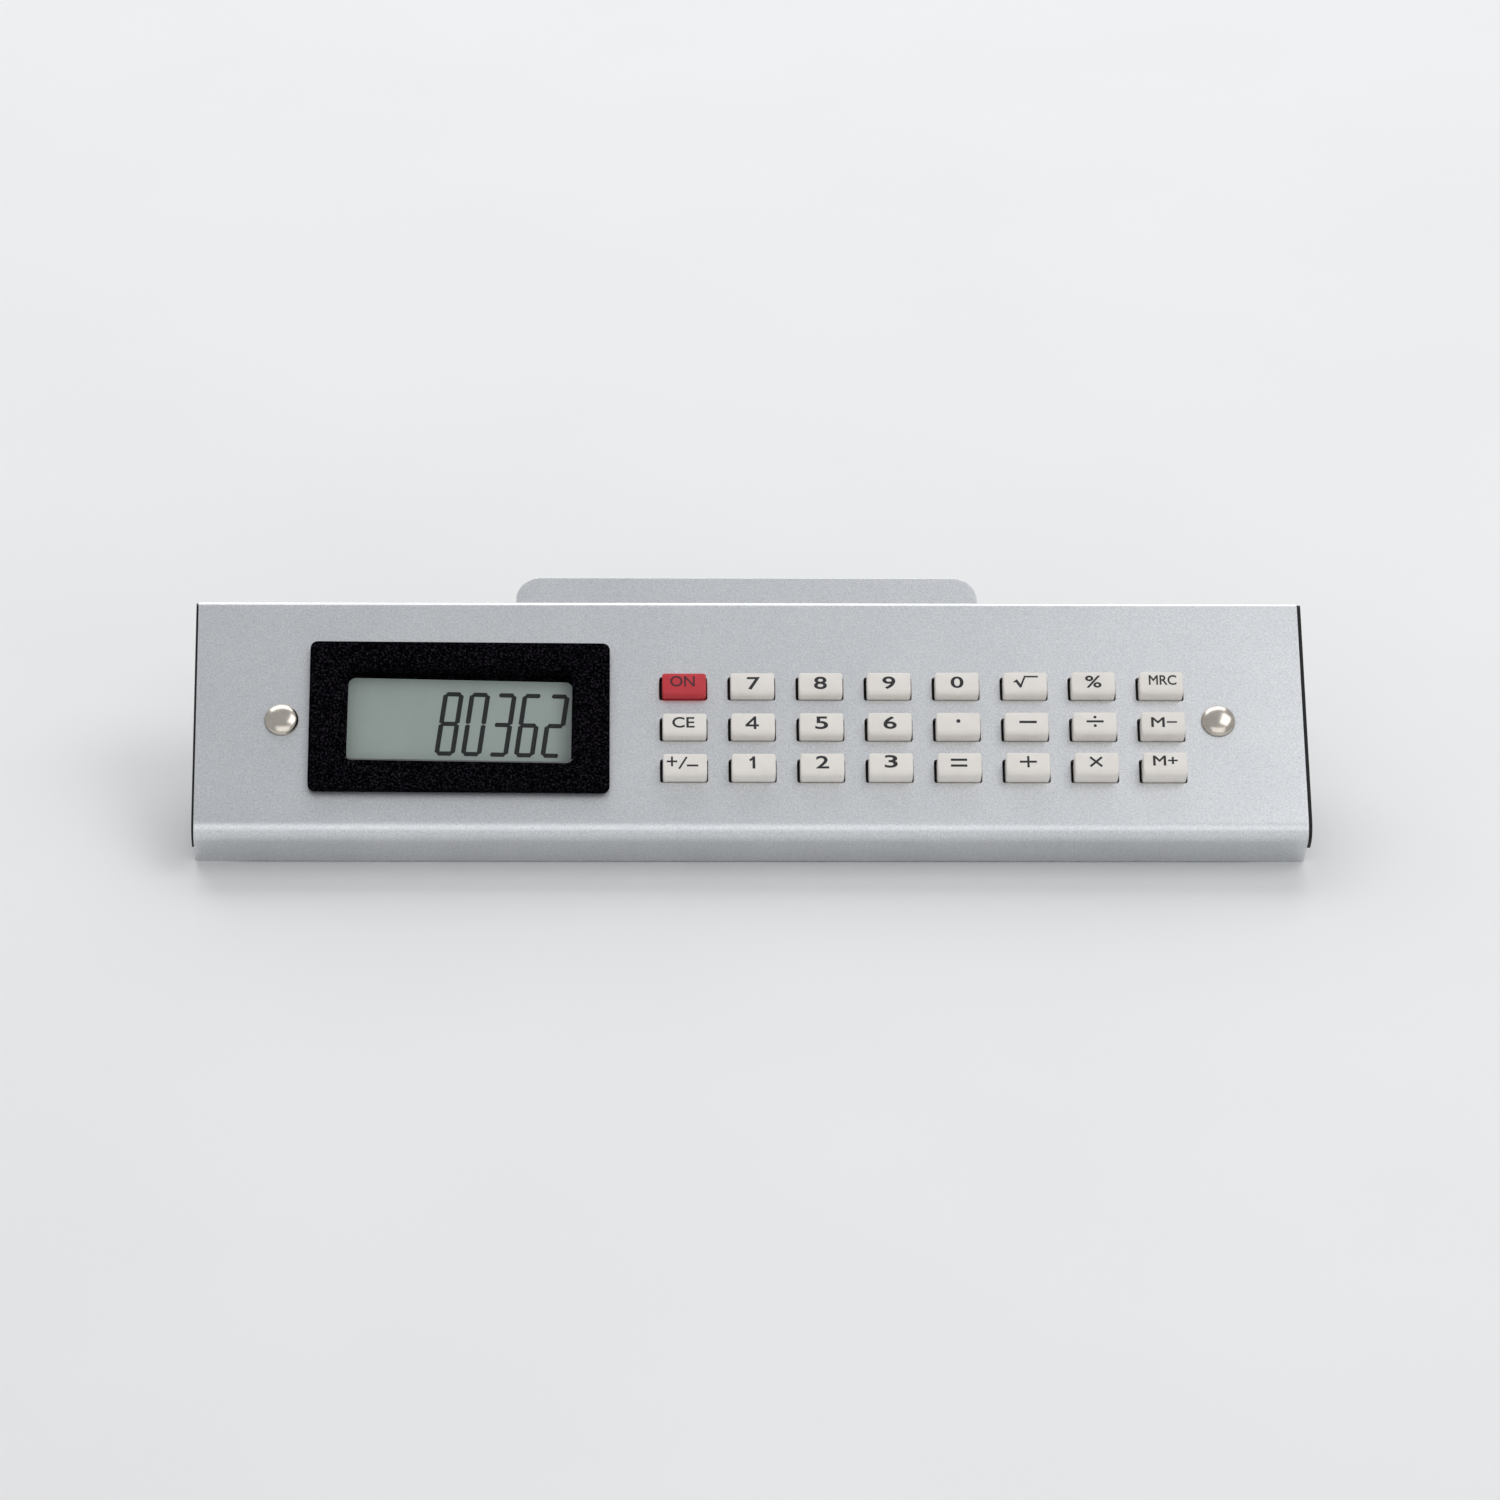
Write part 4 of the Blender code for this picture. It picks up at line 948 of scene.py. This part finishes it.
ceramic.wear(
    ceramic.blend(ceramic.grain(0.5, 3), (0.42, 0.29, 0.17), (0.58, 0.43, 0.28)),
    ceramic.grain(0.4) * 0.2 + 0.35,
)
refinish(ceramic, "board_capacitor")
refinish(zinc, "board_screw_1", "board_screw_2", "board_screw_3", "board_screw_4")


# ---------------------------------------------------------------- battery and its door
# A steel button cell between two sprung steel contacts. The black door slides out to the rear along
# grooves in the tray's floor, and has moulded ribs for a fingernail.

cell_steel = Finish("button_cell_steel", Metallic=1.0)
scuffs = cell_steel.grain(0.7, 4, (1, 0.12, 1))
cell_steel.wear(
    cell_steel.blend(scuffs, (0.60, 0.60, 0.59), (0.76, 0.76, 0.75)),
    scuffs * 0.25 + 0.15,
    scuffs,
    0.003,
)
refinish(cell_steel, "battery_cell")
spring_steel = Finish("spring_steel", Metallic=1.0)
drawn = spring_steel.grain(0.35, 3, (0.1, 1, 1))
spring_steel.wear(
    spring_steel.blend(drawn, (0.22, 0.22, 0.225), (0.42, 0.42, 0.43)),
    drawn * 0.2 + 0.2,
    drawn,
    0.003,
)
refinish(spring_steel, "battery_contact_negative", "battery_contact_positive")

DOOR_FRONT = 27.3
DOOR_DEPTH = 14.2
DOOR_X = -56
DOOR_WIDTH = 17
DOOR_TONGUE_WIDTH = 18.2
DOOR_UNDERSIDE = -9.6
DOOR_TONGUE_BOTTOM = -9.2
DOOR_TONGUE_THICKNESS = 0.45
DOOR_RIBS = 6
RIB_LENGTH = 10
RIB_WIDTH = 0.5
RIB_PITCH = 0.9
FIRST_RIB = DOOR_FRONT + 9
door = begin(
    "sliding_battery_door",
    bpy.ops.mesh.primitive_plane_add,
    DOOR_WIDTH,
    DOOR_DEPTH,
    size=2,
    location=(DOOR_X, DOOR_FRONT + DOOR_DEPTH / 2, DOOR_UNDERSIDE),
)
bpy.ops.mesh.select_all(action="SELECT")
pull(z=DOOR_TONGUE_BOTTOM - DOOR_UNDERSIDE)
step_to(DOOR_TONGUE_WIDTH, DOOR_DEPTH, DOOR_TONGUE_BOTTOM)
pull(z=DOOR_TONGUE_THICKNESS)
close(door)
for number in range(DOOR_RIBS):
    spot = (DOOR_X, FIRST_RIB + RIB_PITCH * number)
    low = DOOR_UNDERSIDE - 0.25
    rib = rounded_plate("rib", RIB_LENGTH, RIB_WIDTH, 0.2, 3, low, DOOR_TONGUE_BOTTOM - 0.2, spot)
    combine(door, rib, "UNION")
soften(door, 0.08)
place(door, black_abs_and_gap_shade)
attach(door, "battery_door")
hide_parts("battery_door")


# ---------------------------------------------------------------- clamp plate
# 1.2 mm aluminium plate, riveted under the tray over nearly its whole length. At the rear a tongue
# with rounded corners is the thumb tab. Two folded ears carry the hinge pin.

PLATE_WIDTH = 166
PLATE_FRONT = 3.2
PLATE_REAR = 26.5
PLATE_BOTTOM = -11
PLATE_THICKNESS = 1.2
PLATE_CORNER = 2
TONGUE_WIDTH = 76.2
TONGUE_REAR = 52.4
TONGUE_CORNER = 4
EAR_RADIUS = 3.2
EAR_CORNER = 3
PIN_BORE_RADIUS = 1.7
PIN_BORE_LENGTH = 90
FINE_CORNERS = 40
plate = begin(
    "clamp_and_thumb_tab",
    bpy.ops.mesh.primitive_plane_add,
    PLATE_WIDTH,
    PLATE_REAR - PLATE_FRONT,
    size=2,
    location=(0, (PLATE_FRONT + PLATE_REAR) / 2, PLATE_BOTTOM),
)
for side in (-1, 1):
    bpy.ops.mesh.select_all(action="SELECT")
    bpy.ops.mesh.bisect(plane_co=(side * TONGUE_WIDTH / 2, 0, 0), plane_no=(1, 0, 0))
pick("EDGE", lambda p: p.y > PLATE_REAR - NEAR and abs(p.x) < TONGUE_WIDTH / 4)
pull(y=TONGUE_REAR - PLATE_REAR)
pick("VERT", lambda p: abs(p.x) > PLATE_WIDTH / 2 - NEAR)
bpy.ops.mesh.bevel(offset=PLATE_CORNER, segments=6, affect="VERTICES")
pick("VERT", lambda p: p.y > TONGUE_REAR - NEAR)
bpy.ops.mesh.bevel(offset=TONGUE_CORNER, segments=12, affect="VERTICES")
bpy.ops.mesh.select_all(action="SELECT")
pull(z=PLATE_THICKNESS)
close(plate)
for side in (-1, 1):
    ear_bottom = -PIN_DEPTH - EAR_RADIUS
    ear = begin(
        "ear",
        bpy.ops.mesh.primitive_plane_add,
        PLATE_THICKNESS,
        2 * EAR_RADIUS,
        size=2,
        location=(side * (TONGUE_WIDTH - PLATE_THICKNESS) / 2, PIN_Y, ear_bottom),
    )
    bpy.ops.mesh.select_all(action="SELECT")
    pull(z=PLATE_BOTTOM + 1 - ear_bottom)
    pick("EDGE", lambda p: p.z < ear_bottom + NEAR and abs(p.y - PIN_Y) > EAR_RADIUS - NEAR)
    bpy.ops.mesh.bevel(offset=EAR_CORNER, segments=8, affect="EDGES")
    combine(plate, ear, "UNION")
    combine(plate, round_punch(RIVET_HOLE_RADIUS, (side * RIVET_X, RIVET_Y, PLATE_BOTTOM)))


def pin_bore(y, z):
    """A drill through both ears for the hinge pin."""
    across = (0, math.radians(90), 0)
    return round_punch(PIN_BORE_RADIUS, (0, y, z), across, PIN_BORE_LENGTH, FINE_CORNERS)


combine(plate, pin_bore(PIN_Y, -PIN_DEPTH))
soften(plate, 0.16, 3)
place(plate, anodised)
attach(plate, "clip")
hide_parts("clamp_plate")


# ---------------------------------------------------------------- base bracket
# A pressed steel foot, zinc plated, with two tapered ears that carry the hinge pin and four holes
# for the rivets that hold it to a board.

PIN_HEIGHT = (pin_low.z + pin_high.z) / 2 / MM
board_frame = Matrix.Scale(MM, 4)
BRACKET_WIDTH = 72.8
BRACKET_DEPTH = 36
BRACKET_CORNER = 3
BRACKET_THICKNESS = 1.2
EAR_FOOT_DEPTH = 16
EAR_TOP_DEPTH = 5.6
EAR_TOP_CORNER = 2.6
FIXING_HOLE_RADIUS = 2.1
FIXING_HOLE_X = 26
FIXING_HOLE_Y = 12
bracket = rounded_plate(
    "pressed_bracket", BRACKET_WIDTH, BRACKET_DEPTH, BRACKET_CORNER, 8, 0, BRACKET_THICKNESS
)
close(bracket)
ear_base = BRACKET_THICKNESS / 2
ear_top = PIN_HEIGHT + EAR_TOP_DEPTH / 2
for side in (-1, 1):
    ear = begin(
        "ear",
        bpy.ops.mesh.primitive_plane_add,
        BRACKET_THICKNESS,
        EAR_FOOT_DEPTH,
        size=2,
        location=(side * (BRACKET_WIDTH - BRACKET_THICKNESS) / 2, 0, ear_base),
    )
    bpy.ops.mesh.select_all(action="SELECT")
    pull(z=ear_top - ear_base)
    taper = EAR_TOP_DEPTH / EAR_FOOT_DEPTH
    bpy.ops.transform.resize(value=(1, taper, 1), center_override=(0, 0, 0))
    pick("EDGE", lambda p: p.z > ear_top - NEAR and abs(p.y) > EAR_TOP_DEPTH / 2 - NEAR)
    bpy.ops.mesh.bevel(offset=EAR_TOP_CORNER, segments=8, affect="EDGES")
    combine(bracket, ear, "UNION")
combine(bracket, pin_bore(0, PIN_HEIGHT))
for x in (-FIXING_HOLE_X, FIXING_HOLE_X):
    for y in (-FIXING_HOLE_Y, FIXING_HOLE_Y):
        combine(bracket, round_punch(FIXING_HOLE_RADIUS, (x, y, 0)))
soften(bracket, 0.14, 3)
place(bracket, zinc, board_frame)
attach(bracket, "base")
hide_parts("base_bracket")


# ---------------------------------------------------------------- hinge pin, clip and springs
# A headed steel pin turns in the ears and is kept in by a push-on clip. Round it sit two torsion
# springs of 1 mm wire: one leg under the tongue, the other on the foot. They press the lip down.

PIN_RADIUS = 1.4
PIN_REACH = 40.2
HEAD_RADIUS = 2.4
HEAD_INNER_FACE = -39.2
CLIP_RADIUS = 2.7
CLIP_BORE_RADIUS = 1.5
CLIP_INNER_FACE = 38.5
CLIP_OUTER_FACE = 39.1
SLIT_WIDTH = 0.4
SLIT_LENGTH = 1.5
SLITS = 3
hinge_frame = board_frame @ Matrix.Translation((0, 0, PIN_HEIGHT))
pin_frame = hinge_frame @ Matrix.Rotation(math.radians(90), 4, "Y")
pin = turned(
    "headed_pin",
    [
        (HEAD_RADIUS - 0.3, -PIN_REACH),
        (HEAD_RADIUS, -PIN_REACH + 0.2),
        (HEAD_RADIUS, HEAD_INNER_FACE),
        (PIN_RADIUS, HEAD_INNER_FACE),
        (PIN_RADIUS, PIN_REACH - 0.4),
        (PIN_RADIUS - 0.4, PIN_REACH),
    ],
)
soften(pin, 0.06)
place(pin, zinc, pin_frame)
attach(pin, "base")
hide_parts("hinge_pin")

clip = turned(
    "push_on_clip",
    [
        (CLIP_RADIUS, CLIP_INNER_FACE),
        (CLIP_RADIUS, CLIP_OUTER_FACE - 0.2),
        (CLIP_RADIUS - 0.4, CLIP_OUTER_FACE),
    ],
)
combine(clip, round_punch(CLIP_BORE_RADIUS, (0, 0, CLIP_INNER_FACE), corners=FINE_CORNERS))
for number in range(SLITS):
    slit = begin(
        "slit",
        bpy.ops.mesh.primitive_plane_add,
        SLIT_WIDTH,
        SLIT_LENGTH,
        size=2,
        location=(0, CLIP_BORE_RADIUS - 0.2, CLIP_INNER_FACE - 0.5),
    )
    bpy.ops.mesh.select_all(action="SELECT")
    pull(z=2)
    bpy.ops.object.mode_set(mode="OBJECT")
    slit.rotation_euler.z = math.tau * number / SLITS
    combine(clip, slit)
soften(clip, 0.05)
place(clip, spring_steel, pin_frame)
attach(clip, "base")
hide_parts("pin_clip")

WIRE_RADIUS = 0.5
COIL_RADIUS = 2.5
COIL_PITCH = 1.35
COIL_MIDDLE = 17
HALF_TURNS = 2.704
COIL_START = math.pi / 2 + FACE_TILT
COIL_TURNS = 5.31
LEG_LENGTH = 15
FOOT_REACH = 14
FOOT_HEIGHT = BRACKET_THICKNESS + WIRE_RADIUS + 0.2 - PIN_HEIGHT
POINTS_PER_TURN = 24
for side, word in ((-1, "left"), (1, "right")):
    coil = []
    for step in range(round(COIL_TURNS * POINTS_PER_TURN) + 1):
        wound = min(step / POINTS_PER_TURN, COIL_TURNS)
        angle = COIL_START + math.tau * wound
        across = side * (COIL_MIDDLE + COIL_PITCH * (wound - HALF_TURNS))
        coil.append((across, COIL_RADIUS * math.cos(angle), COIL_RADIUS * math.sin(angle)))
    first = Vector(coil[0]) + LEG_LENGTH * Vector((0, math.cos(FACE_TILT), math.sin(FACE_TILT)))
    foot_x = coil[-1][0]
    foot = [
        (foot_x, FOOT_REACH - 3.4, FOOT_HEIGHT + 0.25),
        (foot_x, FOOT_REACH - 2.8, FOOT_HEIGHT),
        (foot_x, FOOT_REACH, FOOT_HEIGHT),
    ]
    path = [first, *coil, *foot]
    bpy.ops.object.select_all(action="DESELECT")
    bpy.ops.curve.primitive_nurbs_path_add()
    spring = bpy.context.object
    spring.name = "wire_spring_" + word
    wire = spring.data
    wire.splines.clear()
    spline = wire.splines.new("POLY")
    spline.points.add(len(path) - 1)
    for point, spot in zip(spline.points, path):
        point.co = (*spot, 1)
    wire.bevel_depth = WIRE_RADIUS
    wire.bevel_resolution = 4
    wire.use_fill_caps = True
    bpy.ops.object.convert(target="MESH")
    spring = bpy.context.object
    close(spring)
    bpy.ops.object.shade_smooth_by_angle(angle=math.radians(50))
    place(spring, spring_steel, hinge_frame)
    on_foot = Vector((foot_x - side * 0.6, 0, PIN_HEIGHT)) * MM
    on_tongue = Vector((coil[0][0] + side * 0.6, 0, PIN_HEIGHT)) * MM
    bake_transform(spring)
    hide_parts("torsion_spring_" + word)


# ---------------------------------------------------------------- floor, light and camera
# A plain pale table top under three soft boxes: a large one high behind the object, a small one
# above its right end, and a wide one in front. A long lens looks down on the face.

FLOOR_SIZE = 6
FLOOR_DROP = 0.0001
CAMERA_AIM = Vector((0.00005, -0.01367, 0.01225))
CAMERA_DISTANCE = 1.1348
CAMERA_LENS = 166.8
YAW = math.radians(2.22)
PITCH = math.radians(29.97)
ROLL = math.radians(1.18)

floor_paint = Finish("pale_floor", Roughness=0.7)
clouds = floor_paint.grain(60, 2)
floor_paint.wear(floor_paint.blend(clouds, (0.82, 0.82, 0.815), (0.86, 0.86, 0.855)))
floor = begin(
    "floor",
    bpy.ops.mesh.primitive_plane_add,
    FLOOR_SIZE,
    FLOOR_SIZE,
    size=2,
    location=(0, 0, -FLOOR_DROP),
)
bpy.ops.object.mode_set(mode="OBJECT")
floor.data.materials.append(floor_paint.material)
floor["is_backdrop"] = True

world = bpy.data.worlds.new("studio")
world.use_nodes = True
world.node_tree.nodes["Background"].inputs["Color"].default_value = (0.95, 0.97, 1.0, 1)
world.node_tree.nodes["Background"].inputs["Strength"].default_value = 0.50
bpy.context.scene.world = world


def add_light(name, spot, width, depth, power):
    """A soft box at this spot that points at the middle of the scene."""
    bpy.ops.object.select_all(action="DESELECT")
    bpy.ops.object.light_add(type="AREA", location=spot)
    light = bpy.context.object
    light.name = name
    light.data.shape = "RECTANGLE"
    light.data.size = width
    light.data.size_y = depth
    light.data.energy = power
    light.rotation_euler = (-Vector(spot)).to_track_quat("-Z", "Y").to_euler()


add_light("rear_softbox", (-0.1, 0.9, 0.8), width=1.4, depth=1.0, power=7.6)
add_light("overhead_softbox", (0.40, -0.12, 0.66), width=0.5, depth=0.4, power=1.08)
add_light("front_softbox", (0.1, -1.3, 0.75), width=1.6, depth=1.0, power=4.0)

bpy.context.scene.view_settings.view_transform = "Standard"

forward = Vector(
    (math.sin(YAW) * math.cos(PITCH), math.cos(YAW) * math.cos(PITCH), -math.sin(PITCH))
)
level = Vector((math.cos(YAW), -math.sin(YAW), 0))
upright = level.cross(forward)
right = math.cos(ROLL) * level + math.sin(ROLL) * upright
up = math.cos(ROLL) * upright - math.sin(ROLL) * level
bpy.ops.object.camera_add(location=CAMERA_AIM - CAMERA_DISTANCE * forward)
camera = bpy.context.object
camera.data.lens = CAMERA_LENS
camera.rotation_euler = Matrix((right, up, -forward)).transposed().to_euler()
bpy.context.scene.camera = camera

low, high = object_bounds()
